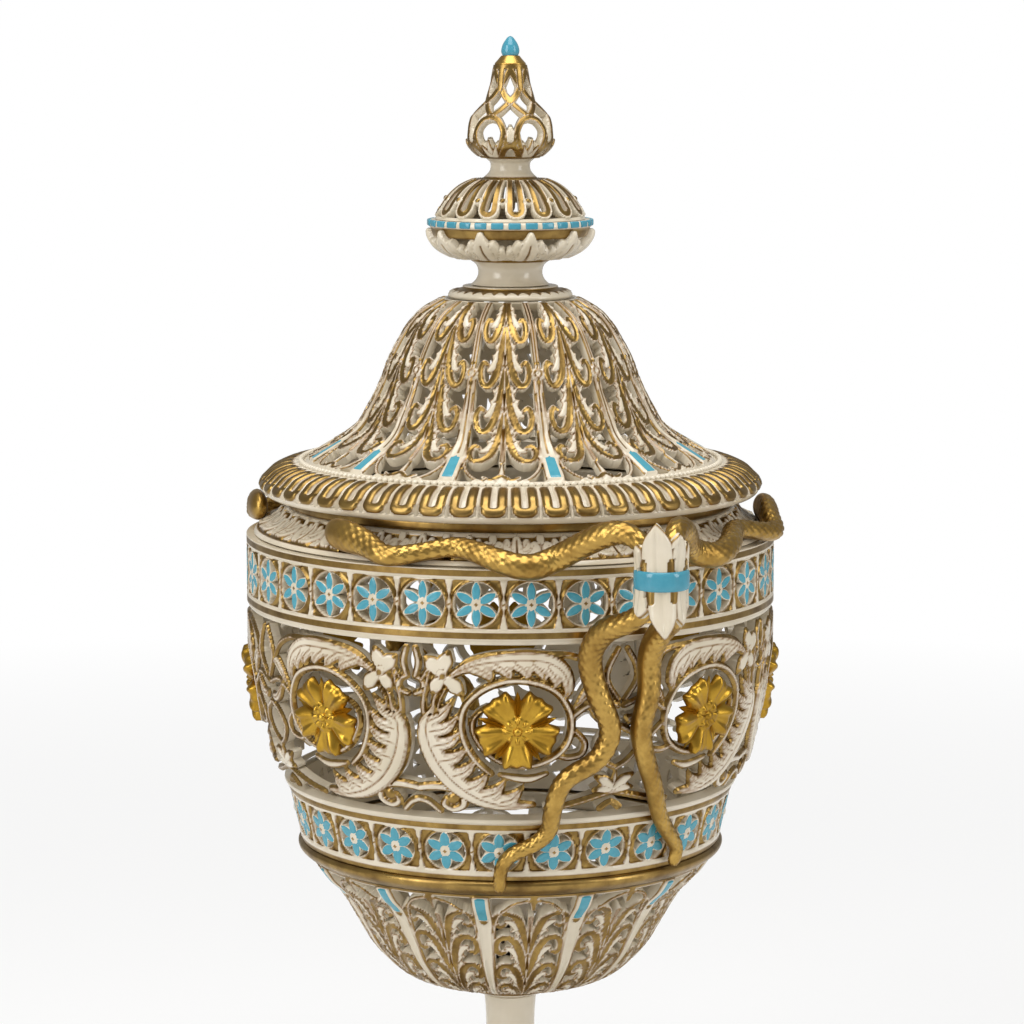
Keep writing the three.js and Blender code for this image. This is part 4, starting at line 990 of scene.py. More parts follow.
dress([turned_ring("cover_rim", rim)], porcelain, "cover", "ivory_glaze", "cover_rim")

# %% Shoulder: a ledge, and leaves moulded in its hollow
low, high = levels("shoulder")
shoulder_outline = [
    (73.2, low), (77.5, low), (77.5, low + 1.3), (76.9, low + 1.7), (74.6, low + 2.4), (72, low + 3.6),
    (69.6, low + 5.2), (68.2, low + 6.9), (67.4, high), (64.4, high),
]
shoulder = ring_panel(shoulder_outline, 32, 26, uneven((0.2, 5), (0.66, 29), (1.0, 7)), 0.7)
foot_of_leaves = shoulder.line.first_at(low + 2, 22)
up = shoulder.y - foot_of_leaves
in_hollow = (up > 0) & (up < 10.4)
shoulder.rise = np.where(in_hollow, -0.5, shoulder.rise)
shoulder.gilt = np.where((up > 0.4) & (up < 9.8), LIMIT, shoulder.gilt)


def on_shoulder(points, widths):
    """How deep each point lies in a pair of mirrored strokes over the hollow."""
    return shoulder.stroke(np.array(points, float) + (0, foot_of_leaves), widths, both=True)


for points, widths, low_rise, high_rise in (
    ([(7.2, 0.4), (7.1, 5), (6.6, 9.8)], [1.5, 1.8, 1.3], -0.1, 0.7),
    ([(0.6, 1), (3.2, 2.2), (5, 4.6), (5, 7.2)], [1.7, 2.1, 2.0, 1.3], -0.1, 1.1),
    ([(0.6, 3.8), (2.3, 5.6), (2.7, 8.2)], [1.5, 1.8, 1.2], 0, 1.1),
    ([(0, 0.4), (0, 5), (0, 9.0)], [2.1, 2.0, 1.3], 0.1, 1.4),
):
    depth = np.where(in_hollow, on_shoulder(points, widths), -FAR)
    shoulder.mound(depth, low_rise, high_rise - low_rise, 0.8, 0.16 - depth)
veins = on_shoulder([(0, 0), (0, 8.5)], [0.3, 0.05])
for points in ([(1, 1.4), (3.4, 3), (4.8, 6.4)], [(1, 4.2), (2.4, 6), (3, 8)], [(7.1, 1), (6.9, 8)]):
    veins = np.maximum(veins, on_shoulder(points, [0.02, 0.02]) - 0.08)
veins = np.where(in_hollow, veins, -FAR)
shoulder.gild(veins)
shoulder.furrow(veins, 0.4, 0.5)
on_ledge = (shoulder.line.height[:, None] < low + 2) & (up < 0.3)
shoulder.gild(np.where(on_ledge, 0.45 - np.abs(up + 0.2), -LIMIT))
dress([turned_ring("shoulder", shoulder)], porcelain, "vase", "ivory_glaze", "shoulder")

# %% Collar under the knop: white scallops over gold
low, high = levels("dome_collar")
collar_outline = [
    (3, low), (18, low), (18.7, low + 0.6), (18.7, low + 1.4), (18.1, low + 1.8), (17, low + 2.4),
    (14.8, low + 3.2), (14.2, high), (3, high),
]
collar = ring_panel(collar_outline, 32, 16, uneven((0.42, 4), (0.64, 24), (1.0, 6)), 0.5)
height = collar.line.height[:, None] + 0 * collar.x
scallop_edge = low + 2.6 - 0.75 * (collar.x / collar.half[:, None]) ** 2
on_top = (collar.line.radius[:, None] > 14.4) & (height > low + 1.6)
collar.gilt = np.where(on_top, np.clip((height - scallop_edge) * 1.5, -LIMIT, LIMIT), collar.gilt)
collar.rise = np.where(on_top, 0.3 * np.clip((scallop_edge - height) / 0.3, -1, 1), collar.rise)
dress([turned_ring("collar", collar)], porcelain, "cover", "ivory_glaze", "dome_collar")

# %% [markdown]
# The knop is a small vase of its own: ten white leaves stand up round its lower half, a gold band with
# turquoise tablets runs round its widest part, and sixteen gold-lined loops close over the top.

# %% Knop: frill, band and crown
frill_low = levels("knop_frill")[0]
frill_shape = [(12.6, 0), (15.2, 0.5), (18.6, 1.7), (21.8, 3.6), (23.9, 6.4), (24.4, 9)]
frill_points = [(radius, frill_low + rise) for radius, rise in frill_shape]
frill = Panel(WallLine(smooth(frill_points, 120), 40), 10, 36)
frill.mound(6.2 - frill.y, 0, 0.3, 2)
for shares, widths, low, high in (
    ([(0.2, 0.2), (0.66, 0.44), (0.8, 0.58)], [2.4, 2.6, 1.1], 0, 0.8),
    ([(0.1, 0.3), (0.4, 0.62), (0.48, 0.76)], [2.4, 2.2, 0.9], 0.1, 0.9),
    ([(0, 0.1), (0, 0.62), (0.0, 0.94)], [2.8, 3.0, 0.9], 0.2, 1.2),
):
    frill.mound(frill.stroke(frill.place(shares), widths, both=True), low, high - low, 1.1)
frill_vein = frill.stroke(frill.place([(0, 0.05), (0, 0.75)]), [0.45, 0.12])
frill.furrow(frill_vein, 0.5, 0.4)
frill.gild(frill_vein - 0.05)
frill.gild(0.9 - frill.y)
dress(pierced_wall("knop_frill", frill, 1.5, -9.5), porcelain, "cover", "ivory_glaze", "knop_frill")

low, high = levels("knop_band")
plain_ring("knop_band", [
    (21, low), (23, low), (23.6, low + 1.4), (23.8, low + 2.7), (24.5, low + 3.1), (24.6, low + 4),
    (24.2, high), (21, high),
], "cover", gold=(low - 1, low + 2.9), slot="gilding")

crown_low, crown_high = levels("knop_crown")
crown_shape = [(22.3, 0), (21.2, 0.18), (19.2, 0.42), (17, 0.62), (14, 0.79)]
crown_points = [(radius, crown_low + (crown_high - crown_low) * share) for radius, share in crown_shape]
crown = Panel(WallLine(smooth(crown_points + [(8.9, crown_high - 0.6)], 120), 52), 16, 24)
crown_length = crown.line.length
arm = 0.5 * crown.half[:, None]
turn_centre = 0.04 * crown_length + 3.2
away = np.where(crown.y > turn_centre, np.abs(crown.x) - arm, np.hypot(crown.x, crown.y - turn_centre) - 2.0)
thick = np.interp(crown.y, [0, 0.3 * crown_length, crown_length], [1.2, 1.15, 0.7])
loop = np.minimum(thick - np.abs(away), crown_length * 0.97 - crown.y)
loop_rise = 0.1 + 0.9 * rounded(loop, 0.5) - 0.3 * rounded(loop - 0.35, 0.3)
crown.lay(loop, loop_rise, 0.68 - np.abs(away + 0.25))
crown.mound(crown.on_edge(0.36, 1.3), 0.2, 0.6, 0.5)
crown.mound(crown.on_edge(0.36, 0.85), 0.7, 0.7, 0.8, crown.on_edge(0.36, 0.95))
crown.lay(1.0 - crown.y, 0.3)
crown.lay(crown.y - 0.9 * crown_length, 0.3, crown.y - 0.94 * crown_length)
dress(pierced_wall("knop_crown", crown, 1.6, 3), porcelain, "cover", "ivory_glaze", "knop_crown")

# %% [markdown]
# The finial is a pear of crossing straps, gold in front and white at the sides where they were cut. Six
# horseshoes stand round its foot, and the straps that rise from them cross twice before they meet at the cap.

# %% Pear, cap and bud
pear_low = levels("finial_pear")[0] - 2
pear_high = levels("finial_pear")[1] - 1.6
pear_shape = [
    (7.8, 0), (10.4, 0.06), (12.5, 0.15), (12.9, 0.27), (11.9, 0.4), (9.4, 0.52), (7.0, 0.64), (5.6, 0.78),
    (5.1, 0.88), (4.5, 1),
]
pear_points = [(radius, pear_low + (pear_high - pear_low) * share) for radius, share in pear_shape]
pear = Panel(WallLine(smooth(pear_points, 160), 70), 6, 36)
for shares, width in (
    ([(0, 0.47), (0.45, 0.55), (1.0, 0.64)], 0.97),
    ([(1.0, 0.64), (0.5, 0.71), (0.06, 0.79), (0, 0.8)], 0.97),
    ([(0, 0.8), (0.45, 0.87), (1.0, 0.95)], 1.0),
    ([(0, 0.78), (0, 0.98)], 1.05),
    ([(0, 0.465), (0.42, 0.43), (0.7, 0.32), (0.6, 0.2), (0.42, 0.12), (0.3, 0.04)], 0.93),
    ([(1.0, 0.33), (0.9, 0.27), (0.8, 0.2)], 0.95),
    ([(1.0, 0.2), (0.74, 0.165), (0.5, 0.06)], 0.97),
):
    strap = pear.stroke(pear.place(shares), [width, width], both=True)
    pear.mound(strap, 0.1, 0.45, 0.5, strap - 0.26)
pear.mound(pear.stroke(pear.place([(1.0, 0.26), (0.97, 0.36)]), [1.0, 0.4], both=True), 0.1, 0.6, 0.5)
for shares, widths in (([(0.0, 0.06), (0.0, 0.24)], [1.6, 0.4]), ([(0.1, 0.06), (0.36, 0.19)], [1.4, 0.4])):
    small_leaf = pear.stroke(pear.place(shares), widths, both=True)
    pear.mound(small_leaf, 0, 0.6, 0.6, 0.2 - small_leaf)
pear.mound(pear.ends(1.4, 1.3), 0.2, 0.3, 0.6, LIMIT)
dress(pierced_wall("finial_pear", pear, 1.8, 6), porcelain, "cover", "gilding", "finial_pear")


def turned_solid(name, outline, material, slot):
    """A solid on the axis. Its outline runs from the bottom of the axis to the top."""
    sides = 48
    line = WallLine(outline, 40)
    turn = np.arange(sides) * 2 * math.pi / sides
    radius, height = line.radius[1:-1, None], line.height[1:-1, None]
    points = np.stack([radius * np.cos(turn), radius * np.sin(turn), height + 0 * turn], 2).reshape(-1, 3)
    ends = [[0, 0, line.height[0]], [0, 0, line.height[-1]]]
    dress([turned_tube(name, points, ends, sides)], material, "cover", slot, name)


low, high = pear_high, levels("finial_cap")[1] - 1.3
cap_outline = [(0, low), (4.7, low), (4.6, low + 0.5), (3.6, low + 1.6), (2.7, high), (0, high)]
turned_solid("finial_cap", cap_outline, gilding, "gilding")
low, high = high, levels("finial_bud")[1]
bud_shape = [(2.3, 0), (2.65, 0.14), (2.7, 0.3), (2.3, 0.55), (1.55, 0.77), (0.75, 0.94), (0, 1)]
bud = smooth([(radius, low + (high - low) * share) for radius, share in bud_shape], 60)
turned_solid("finial_bud", np.vstack([[(0, low)], bud]), turquoise, "turquoise_enamel")

# %% [markdown]
# What repeats round the axis is made once and set out by one Geometry Nodes tree: the pearls round the dome's
# foot and the tablets of the knop. The tree turns each copy by its number, and the result becomes plain mesh.

# %% Geometry Nodes: repeat round the axis
def repeat_tree():
    tree = bpy.data.node_groups.new("repeat round the axis", "GeometryNodeTree")
    sockets = {}
    inputs = {"Geometry": "Geometry", "Count": "Int", "Phase": "Float", "Material": "Material"}
    for label, kind in inputs.items():
        socket = tree.interface.new_socket(label, in_out="INPUT", socket_type="NodeSocket" + kind)
        sockets[label] = socket.identifier
    tree.interface.new_socket("Geometry", in_out="OUTPUT", socket_type="NodeSocketGeometry")
    given = tree.nodes.new("NodeGroupInput").outputs
    points = add(tree, "GeometryNodePoints", {"Count": given["Count"]})
    step = math_node(tree, "DIVIDE", 2 * math.pi, given["Count"])
    number = add(tree, "GeometryNodeInputIndex").outputs[0]
    turn = math_node(tree, "ADD", math_node(tree, "MULTIPLY", number, step), given["Phase"])
    rotation = add(tree, "ShaderNodeCombineXYZ", {"Z": turn})
    copies = add(tree, "GeometryNodeInstanceOnPoints", {
        "Points": points.outputs[0], "Instance": given["Geometry"], "Rotation": rotation.outputs[0]})
    real = add(tree, "GeometryNodeRealizeInstances", {"Geometry": copies.outputs[0]})
    painting = {"Geometry": real.outputs[0], "Material": given["Material"]}
    painted = add(tree, "GeometryNodeSetMaterial", painting)
    wire(tree, tree.nodes.new("NodeGroupOutput").inputs[0], painted.outputs[0])
    return tree, sockets


axis_tree, axis_sockets = repeat_tree()


def repeated(name, shape, count, phase, material, body):
    """Sets a small shape out round the axis and keeps the result as one plain piece."""
    for face in shape.faces:
        face.smooth = True
    original = bpy.data.objects.new("original", bpy.data.meshes.new("original"))
    shape.to_mesh(original.data)
    bpy.context.collection.objects.link(original)
    modifier = original.modifiers.new("repeat", "NODES")
    modifier.node_group = axis_tree
    modifier[axis_sockets["Count"]] = count
    modifier[axis_sockets["Phase"]] = math.radians(phase)
    modifier[axis_sockets["Material"]] = material
    bpy.context.view_layer.update()
    evaluated = original.evaluated_get(bpy.context.evaluated_depsgraph_get())
    mesh = bpy.data.meshes.new_from_object(evaluated)
    bpy.data.objects.remove(original)
    mesh.name = name
    piece = bpy.data.objects.new(name, mesh)
    bpy.context.collection.objects.link(piece)
    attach(piece, body)
    print(name, count, "copies,", len(mesh.polygons), "faces")


def set_out(shape, place, size):
    """Stretches a small shape to its size and moves it to its place, both in millimetres."""
    for vertex in shape.verts:
        vertex.co = [(p + s * c) * MM for p, s, c in zip(place, size, vertex.co)]


pearl = bmesh.new()
bmesh.ops.create_uvsphere(pearl, u_segments=10, v_segments=6, radius=1)
set_out(pearl, (63.2, 0, levels("cover_dome")[0] + 0.35), (0.85, 0.95, 0.8))
repeated("dome_pearls", pearl, 196, 0, white_glaze, "cover")
tablet = bmesh.new()
bmesh.ops.create_cube(tablet, size=1)
set_out(tablet, (24.3, 0, levels("knop_band")[1] - 0.9), (1.2, 3.7, 1.9))
bmesh.ops.bevel(tablet, geom=tablet.edges[:], offset=0.4 * MM, segments=2, affect="EDGES", profile=0.6)
repeated("knop_tablets", tablet, 30, 3, turquoise, "cover")

# %% [markdown]
# The roses are modelled in matt gold on their own little dishes: five petals with folded crests, one of them
# pointing down, pointed sepals between them, and a ring of beads round the eye.

# %% Roses
ROSE_RINGS = 26
ROSE_SPOKES = 120


def bell_curve(distance, width):
    return np.exp(-(distance / width) ** 2)


def from_petal(degrees):
    """How many degrees a direction lies from the middle of its petal."""
    return np.abs((degrees + 90 + 36) % 72 - 36)


def rose_height(share, degrees, radius):
    """Height of a rose over its back, at a share of its radius in a direction."""
    beside = from_petal(degrees)
    petal = np.clip(1 - (beside / 33) ** 3, 0, 1)
    cup = 2.0 * share ** 0.7 - 1.7 * np.clip(share - 0.78, 0, 1) ** 2 / 0.05
    fold = 1.1 * bell_curve(beside - 18, 7.5) * np.clip((share - 0.35) / 0.35, 0, 1)
    hollow = -0.25 * bell_curve(beside - 8, 6) * np.clip((share - 0.3) / 0.3, 0, 1)
    sepal = 1.1 - 0.7 * share + 0.8 * bell_curve(36 - beside, 3.5)
    height = np.where(petal > 0.12, np.maximum(1.2 + petal * (cup + fold + hollow), sepal), sepal)
    out = share * radius
    beads = 0.7 * np.clip(np.cos(np.radians(degrees * 8)), 0, 1) ** 0.6 * bell_curve(out - 2.95, 0.7)
    disc = 2.3 + beads + 1.1 * np.sqrt(np.clip(1 - (out / 1.25) ** 2, 0, 1))
    middle = np.clip((4.2 - out) / 0.5, 0, 1)
    return height * (1 - middle) + disc * middle


def rose_points(azimuth):
    """Points of a rose's face and back, bent to the wall that it lies on."""
    degrees = np.arange(ROSE_SPOKES) * 360 / ROSE_SPOKES
    beside = from_petal(degrees)
    corners = 1.3 * np.exp(-(np.abs(beside - 20) / 6) ** 1.5) + 0.4 * bell_curve(beside, 5)
    petal_reach = 11.2 * (1 - 0.42 * (beside / 33) ** 5) + corners
    radius = np.maximum(petal_reach, 11.6 - 0.45 * (36 - beside))
    share = np.linspace(0, 1, ROSE_RINGS + 1)[1:, None]
    x = share * radius * np.cos(np.radians(degrees))
    y = share * radius * np.sin(np.radians(degrees))
    height = rose_height(share, degrees, radius)
    height[-1] = 0.9
    top = np.stack([x, y, height], 2).reshape(-1, 3)
    back = np.stack([x, y, 0.15 + 0.5 * share ** 2 + 0 * x], 2).reshape(-1, 3)
    eye = [0, 0, rose_height(0.0, np.array([0.0]), 12.0)[0]]
    flat = np.vstack([top, back, [eye, [0, 0, 0.15]]])
    line = wall.line

    def on_wall(values):
        return np.interp(centre + flat[:, 1], line.along, values)

    off = 0.3 + flat[:, 2]
    radius = on_wall(line.radius) + on_wall(line.normal[0]) * off
    height = on_wall(line.height) + on_wall(line.normal[1]) * off
    turn = math.radians(azimuth) + flat[:, 0] / np.interp(centre, line.along, line.radius)
    return np.stack([radius * np.cos(turn), radius * np.sin(turn), height], 1)


def rose_faces():
    under = ROSE_RINGS * ROSE_SPOKES
    index = np.arange(under).reshape(ROSE_RINGS, ROSE_SPOKES)
    right = np.roll(index, -1, 1)
    top = quads_of(index)[:, [0, 3, 2, 1]]
    side = np.stack([index[-1], index[-1] + under, right[-1] + under, right[-1]], 1)
    eye = np.full(ROSE_SPOKES, 2 * under)
    centre_fan = np.stack([eye, index[0], right[0]], 1)
    back_fan = np.stack([eye + 1, right[0] + under, index[0] + under], 1)
    return [top, top[:, ::-1] + under, side, centre_fan, back_fan]


for k in range(8):
    rose = mesh_object(f"rose_{k + 1}", rose_points(22.5 + 45 * k), rose_faces())
    dress([rose], matt_gold, "vase", "gilding", f"rose_{k + 1}")

# %% [markdown]
# Each handle is two serpents. Their heads rest on the shoulder, they pass side by side through a sleeve of
# leaves, and their tails wind down over the wall. Their backs are scaled and their bellies smooth.

# %% The serpents' way over the vase
HANDLE_REACH = 103  # the sleeve's distance from the vase's axis
outer_line = np.array([(61.4, 121.2), (63.9, 126.3), (67.9, 144)] + wall_points + [
    (79.9, 199.5), (79.9, 219.7), (77.5, 219.7), (77.5, 221.3), (72.9, 223.1), (68.9, 225.7), (67.4, 228.2),
    (67.4, 231.6)], float)
outer_points = np.vstack([np.linspace(a, b, 40) for a, b in zip(outer_line, outer_line[1:])])


def resting_radius(height, thickness, width):
    """The radius at which an oval body just clears the vase at a height."""
    rise = np.abs(outer_points[:, 1] - height) / (width + 0.6)
    near = rise < 1
    return float((outer_points[near, 0] + (thickness + 0.6) * np.sqrt(1 - rise[near] ** 2)).max())


shoulder_foot = levels("shoulder")[0]
wall_drop = shoulder_foot - levels("bowl_girdle")[0]
neck_span = 8.5  # the neck's levels are shares of this height
neck_route = [
    (-68.5, 0.835), (-61.5, 0.835), (-55, 0.65), (-49.5, 0.34), (-42, 0.518), (-35, 0.682), (-28, 0.424),
    (-20.7, 0.118), (-14.5, 0.424),
]
head_sections = [(2.5, 3.8), (2.9, 4.7), (2.9, 3.7), (2.7, 2.9), (2.5, 2.5), (2.8, 2.8), (3.2, 3.2)]
tail_routes = {
    -1: [(-8.4, -0.254), (-6, -0.376), (-3, -0.477), (-5.6, -0.569), (-12.6, -0.624), (-14.6, -0.731),
         (-14.9, -0.785), (-18.6, -0.83), (-24.2, -0.862), (-26.4, -0.915), (-26.6, -0.98)],
    1: [(4.6, -0.254), (5, -0.376), (3.6, -0.477), (6, -0.579), (9.5, -0.67), (13.5, -0.772), (19, -0.848),
        (22, -0.893), (21.5, -0.944)],
}


def serpent_stations(side):
    """Places along a serpent with its half thickness and half width, from the head to the tail."""
    def on_vase(azimuth, height, thickness, width):
        radius = resting_radius(height, thickness, width)
        turn = math.radians(azimuth)
        return (radius * math.cos(turn), radius * math.sin(turn), height, thickness, width)

    stations = []
    full = 3.6
    for (azimuth, share), section in zip(neck_route, head_sections + [(full, full)] * 2):
        stations.append(on_vase(-side * azimuth, shoulder_foot + share * neck_span, *section))
    for inward, across, rise, thickness in (
        (13, 13.5, 10.5, full), (6.5, 8, 12.5, 3.06), (0.5, 2.9, 7, 2.33), (0, 2.6, 0, 2.45),
        (0.5, 2.9, -7, 2.33), (6.5, 7, -13, 3.06), (14, 10.5 if side < 0 else 8, -16, full),
    ):
        height = shoulder_foot - 0.3 + rise
        stations.append((HANDLE_REACH - inward, side * across, height, thickness, thickness))
    tail = tail_routes[side]
    for k, (azimuth, share) in enumerate(tail):
        thickness = full + (1.7 - full) * (k + 1) / len(tail)
        stations.append(on_vase(azimuth, shoulder_foot + share * wall_drop, thickness, thickness))
    return np.array(stations)


print("Places on the serpents' ways:", [len(serpent_stations(side)) for side in (-1, 1)])


# %% The serpents' bodies
def direction(vectors):
    return vectors / np.linalg.norm(vectors, axis=1)[:, None]


def blunt_end(distance, reach):
    """Rounds a body's end off: 0 at the end and 1 from a reach on."""
    round_part = np.sqrt(np.clip(1 - (1 - distance / reach) ** 2, 0.02, 1))
    return np.where(distance < reach, round_part, 1)


def serpent(name, side, turned):
    """One serpent of the handle on +X, or of the other handle if turned."""
    sides = 48
    pitch = 0.55  # length of a row of faces
    scale_width, scale_length, scale_height = 3, 1.5, 0.42  # the first in faces
    places, reach = 4000, 110  # the way is averaged over so many places to either side
    way = smooth(serpent_stations(side), places)
    window = np.hanning(2 * reach + 1)
    before, after = 2 * way[0] - way[reach:0:-1], 2 * way[-1] - way[-2:-2 - reach:-1]
    longer = np.vstack([before, way, after])
    way = np.stack([np.convolve(values, window / window.sum(), "valid") for values in longer.T], 1)
    steps = np.concatenate([[0], np.cumsum(np.linalg.norm(np.diff(way[:, :3], axis=0), axis=1))])
    length = steps[-1]
    along = np.linspace(0, length, int(length / pitch))
    path = np.stack([np.interp(along, steps, way[:, k]) for k in range(5)], 1)
    middle = path[:, :3]
    tangent = direction(np.gradient(middle, axis=0))
    across = direction(np.cross(tangent, direction(middle * (1, 1, 0))))
    up = np.cross(across, tangent)

    nose = blunt_end(along, 5)
    thick, wide = (path[:, k] * nose * blunt_end(length - along, 2.2) for k in (3, 4))
    neck = 1 - np.exp(-((along - 5) / 6) ** 2)

    angle = np.arange(sides) * 2 * math.pi / sides
    sleeve = np.interp(along, [0, 0.36 * length, 0.56 * length], [0, 0, 1])
    belly = -side * np.radians(105 + 150 * sleeve)[:, None]
    from_belly = np.abs((angle[None, :] - belly + math.pi) % (2 * math.pi) - math.pi)
    scaled = np.clip((from_belly - math.radians(50)) / 0.25, 0, 1) * neck[:, None]
    column = np.arange(sides) / scale_width
    row = along[:, None] / scale_length
    over, under = (1 - (2 * ((row + lean) / 2 % 1) - 1) ** 2 for lean in (column, -column))
    proud = scale_height * np.sqrt(over * under) * np.clip(thick, 0, 1)[:, None]
    relief = scaled * (proud - 0.15 * nose[:, None])
    ridge = 1 + 0.08 * np.exp(-(from_belly / 0.35) ** 2) * neck[:, None]
    lift = np.cos(angle) * (thick[:, None] * ridge + relief)
    sweep = np.sin(angle) * (wide[:, None] * ridge + relief)
    points = middle[:, None, :] + up[:, None, :] * lift[..., None] + across[:, None, :] * sweep[..., None]
    points = points.reshape(-1, 3) * ((-1, -1, 1) if turned else (1, 1, 1))
    ends = [points[:sides].mean(0), points[-sides:].mean(0)]
    dress([turned_tube(name, points, ends, sides)], gilding, "vase", "gilding", name)


for number, turned in ((1, False), (2, True)):
    serpent(f"serpent_{number}a", -1, turned)
    serpent(f"serpent_{number}b", 1, turned)

# %% Ferrules: a sleeve of white leaves in a turquoise band
SLEEVE_RADIUS = 6.4
sleeve_leaves = {  # azimuth, reach, half width, lean and bulge of each leaf, upwards and downwards
    1: [(150, 8.6, 4.2, 0, 0.8), (-150, 8.8, 4.2, 0, 0.8), (70, 10.4, 4.4, 2.2, 1.3),
        (-92, 9.6, 4.4, -2.2, 1.4), (8, 13.4, 4.4, 1.4, 0.8), (-36, 16.4, 5.0, -0.9, 0.9)],
    -1: [(160, 7.6, 4.0, 0, 0.8), (-150, 7.6, 4.0, 0, 0.8), (80, 10.2, 4.2, 1.6, 1.3),
         (-82, 10.6, 4.4, -1.6, 1.3), (26, 12.8, 4.0, 1.0, 0.8), (-24, 16.4, 4.4, 0.4, 0.9)],
}


def ferrule(number, turned):
    """A sleeve round two serpents, with its band."""
    rows, columns = 78, 90
    low, high = levels(f"ferrule_{number}")
    middle = (low + high) / 2
    line = WallLine(smooth([
        (7.3, low), (6.9, low + 4), (6.3, low + 9), (6.1, middle), (6.3, high - 9), (6.9, high - 4),
        (7.2, high),
    ], 120), rows)
    sleeve = Panel(line, 1, columns)
    half_way = line.length / 2
    sleeve.lay(SLEEVE_RADIUS - np.abs(sleeve.y - half_way), 0, LIMIT)
    for up, leaves in sleeve_leaves.items():
        for azimuth, reach, wide, lean, bulge in leaves:
            at = math.radians(azimuth) * SLEEVE_RADIUS
            path = [(at + lean * f, half_way + up * (2 + f * (reach - 2))) for f in (0, 0.5, 0.8, 1)]
            depth = sleeve.stroke(path, [wide, wide * 0.9, wide * 0.42, 0.15])
            groove = np.clip(1 + sleeve.stroke(path, [0.3, 0.25, 0.1, 0.02]) / 0.5, 0, 1)
            sleeve.lay(depth, 0.1 + bulge * rounded(depth, 1.6) - 0.45 * groove, 0.22 - depth)
    for azimuth, reach in ((-4, 5.6), (-70, 5.2), (-50, -5.8), (4, -5.4), (44, 5.2)):
        at = math.radians(azimuth) * SLEEVE_RADIUS
        drip = sleeve.stroke([(at, half_way), (at, half_way + reach)], [1.4, 0.9])
        sleeve.mound(drip, 0.5, 0.5, 0.8, drip + 0.1)
    azimuths = (180 if turned else 0) - 180 + np.arange(columns) * 360 / columns
    place = (-HANDLE_REACH if turned else HANDLE_REACH, 0)
    piece = pierced_mesh(f"ferrule_{number}", line, azimuths, around(sleeve), 0.9, closed=True, centre=place)
    dress([piece], porcelain, "vase", "ivory_glaze", f"ferrule_{number}")

    low, high = levels(f"ferrule_band_{number}")
    low, high = low + 0.5, high - 0.5
    outline = [(6.4, low), (7.6, low), (7.85, low + 1), (7.85, high - 1), (7.6, high), (6.4, high)]
    band = turned_ring(f"ferrule_band_{number}", ring_panel(outline, 1, 64, 40, 0.7))
    for vertex in band.data.vertices:
        vertex.co.x += place[0] * MM
    dress([band], turquoise, "vase", "turquoise_enamel", f"ferrule_band_{number}")


ferrule(1, False)
ferrule(2, True)

# %% [markdown]
# The foot is below the picture's edge. It follows the style of the rest: a plain stem, a gold ring, and a
# bell pierced with panels of leaves that stands on a white rim with a gold line.

# %% Stem and foot
low, high = levels("stem")
plain_ring("stem", [
    (3.6, low), (10.4, low), (9.2, low + 3), (8.1, low + 9), (7.5, low + 17), (7.4, low + 25),
    (7.8, low + 31), (8.2, high), (3.6, high),
], "vase", gold=(low - 1, low + 0.8), rounding=2.5, columns=72)
low, high = levels("stem_ring")
plain_ring("stem_ring", [
    (3.6, low), (12.6, low), (13.8, low + 1), (14, low + 2.5), (13.8, low + 4), (12, high), (3.6, high),
], "vase", gold=(low - 1, high + 1), rounding=1.0, columns=72, slot="gilding")
low, high = levels("foot_rim")
plain_ring("foot_rim", [
    (40, 0), (46, 0), (47.2, 0.6), (47.5, 1.8), (47.5, 4), (46.6, 5), (45.4, 6), (45, high), (40, high),
], "vase", gold=(3.9, 5.2), rounding=0.6)
bell_points = [(44, 7), (36.5, 9.6), (30.1, 13.2), (23.5, 18), (19.2, 22.5), (15.5, 29.5)]
bell = Panel(WallLine(smooth(bell_points + [(13.2, levels("foot_bell")[1])], 120), 64), 12, 30)
for top, bottom in ((1.0, 0.62), (0.72, 0.36), (0.46, 0.12)):
    bell.rib(bell.stroke(bell.place([(0, top), (0, bottom)]), [0.35, 1.0]), 0.1, 0.8)
    leaf_pair(bell, top, bottom)
bell_rib = bell.from_rib([0, 0.3, 0.6, 1.0], [2.0, 1.2, 0.7, 0.8])
bell.mound(bell_rib, 0.3, 0.6, 0.6, 0.2 - bell_rib)
enamel_tongue(bell, [0, 0.05, 0.2, 0.24], [1.3, 1.35, 1.1, -1], 0.05, 40, 0.3)
bell.lay(bell.ends(1.6, 1.4), 0.3)
dress(pierced_wall("foot_bell", bell, 2.4, 12.5), porcelain, "vase", "ivory_glaze", "foot_bell")

# %% Bolt, nuts and washers keep the frame's solids and get a finish
steel_nodes = ["tie_bolt", "clamp_nut", "lock_nut", "lower_steel_washer", "upper_steel_washer"]
for node in steel_nodes + ["lower_cork_washer", "upper_cork_washer"]:
    solid = next(o for o in bpy.context.scene.objects if o.get("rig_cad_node") == node)
    solid.data.materials.clear()
    solid.data.materials.append(dark_steel if node in steel_nodes else cork)
print("Steel:", ", ".join(steel_nodes))

# %% [markdown]
# The picture was taken on white, in soft light. Large lamps above and on both sides give the gold its bright
# and dark zones, the world fills in the rest, and only the camera sees it as pure white.

# %% Floor, lamps and world
def camera_ray(tree):
    return add(tree, "ShaderNodeLightPath").outputs["Is Camera Ray"]


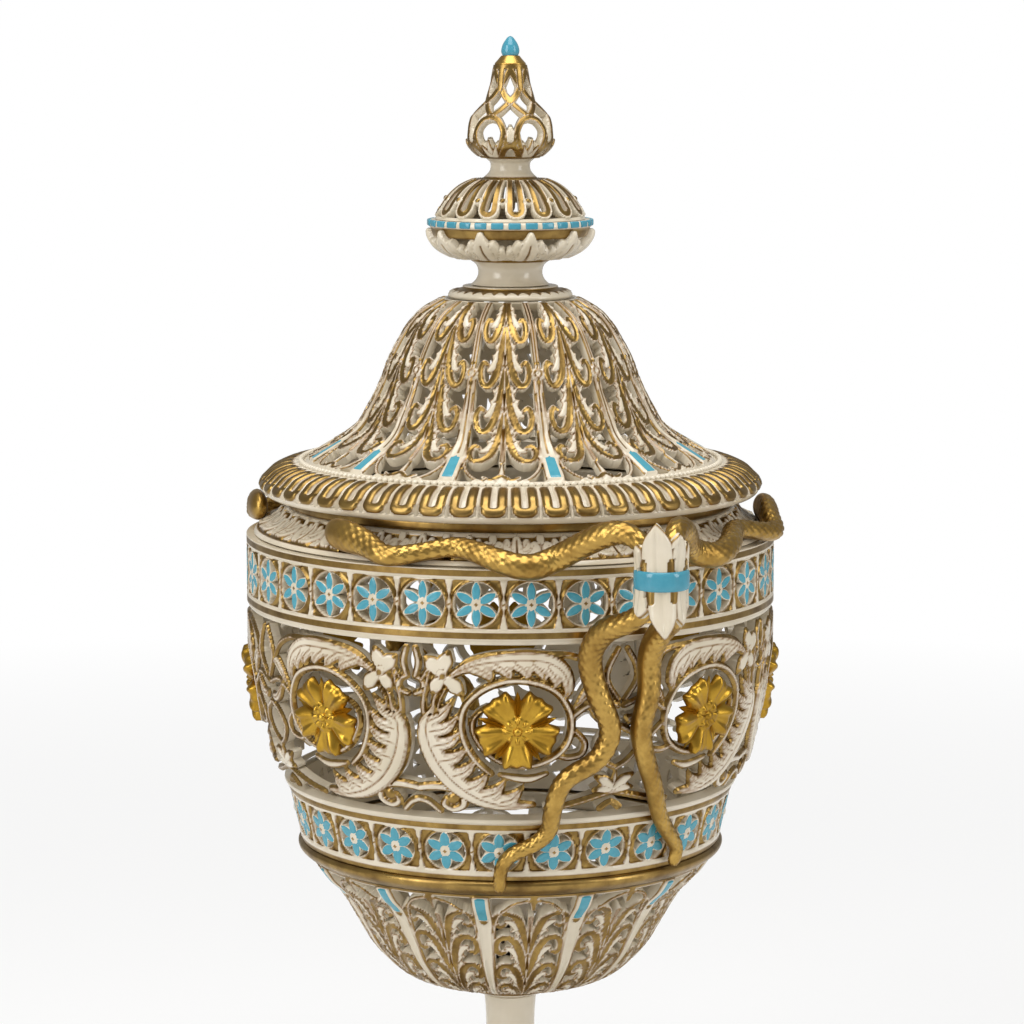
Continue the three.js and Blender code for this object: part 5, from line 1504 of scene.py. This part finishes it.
def white_floor():
    """A wide pale floor that still takes the vase's shadow."""
    bpy.ops.mesh.primitive_plane_add(size=60)
    floor = bpy.context.object
    floor.name = "floor"
    material, tree, shader = new_material("white floor")
    shader.inputs["Base Color"].default_value = (0.86, 0.86, 0.86, 1)
    shader.inputs["Roughness"].default_value = 0.9
    shader.inputs["Specular IOR Level"].default_value = 0.0
    glow = add(tree, "ShaderNodeEmission", {"Strength": 1.0})
    distance = add(tree, "ShaderNodeVectorMath", {0: on_object(tree)}, operation="LENGTH").outputs["Value"]
    seen = math_node(tree, "MULTIPLY", camera_ray(tree), ramp(tree, distance, 0.35, 1.1, 0.55, 1.0))
    mix = add(tree, "ShaderNodeMixShader", {0: seen, 1: shader.outputs[0], 2: glow.outputs[0]})
    wire(tree, tree.nodes["Material Output"].inputs["Surface"], mix.outputs[0])
    floor.data.materials.append(material)


def softbox(name, place, size, power):
    """A large lamp that shines at the vase's foot and body."""
    lamp = bpy.data.objects.new(name, bpy.data.lights.new(name, "AREA"))
    lamp.data.shape = "RECTANGLE"
    lamp.data.size, lamp.data.size_y = size
    lamp.data.energy = power
    lamp.location = place
    lamp.rotation_euler = (Vector((0, 0, 0.2)) - Vector(place)).to_track_quat("-Z", "Y").to_euler()
    bpy.context.collection.objects.link(lamp)


def studio_world():
    world = bpy.data.worlds.new("studio")
    bpy.context.scene.world = world
    world.use_nodes = True
    tree = world.node_tree
    sky = tree.nodes["Background"]
    sky.inputs["Color"].default_value = (1, 1, 1, 1)
    fill = add(tree, "ShaderNodeBackground", {"Color": (1.0, 0.985, 0.95, 1), "Strength": 0.36})
    mix = add(tree, "ShaderNodeMixShader", {0: camera_ray(tree), 1: fill.outputs[0], 2: sky.outputs[0]})
    wire(tree, tree.nodes["World Output"].inputs["Surface"], mix.outputs[0])


white_floor()
softbox("top softbox", (0.25, -0.1, 1.25), (0.9, 0.9), 11)
softbox("left softbox", (0.35, -1.15, 0.65), (0.5, 1.1), 9)
softbox("right softbox", (1.0, 0.75, 0.6), (0.4, 1.0), 6)
studio_world()
bpy.context.scene.view_settings.view_transform = "Standard"
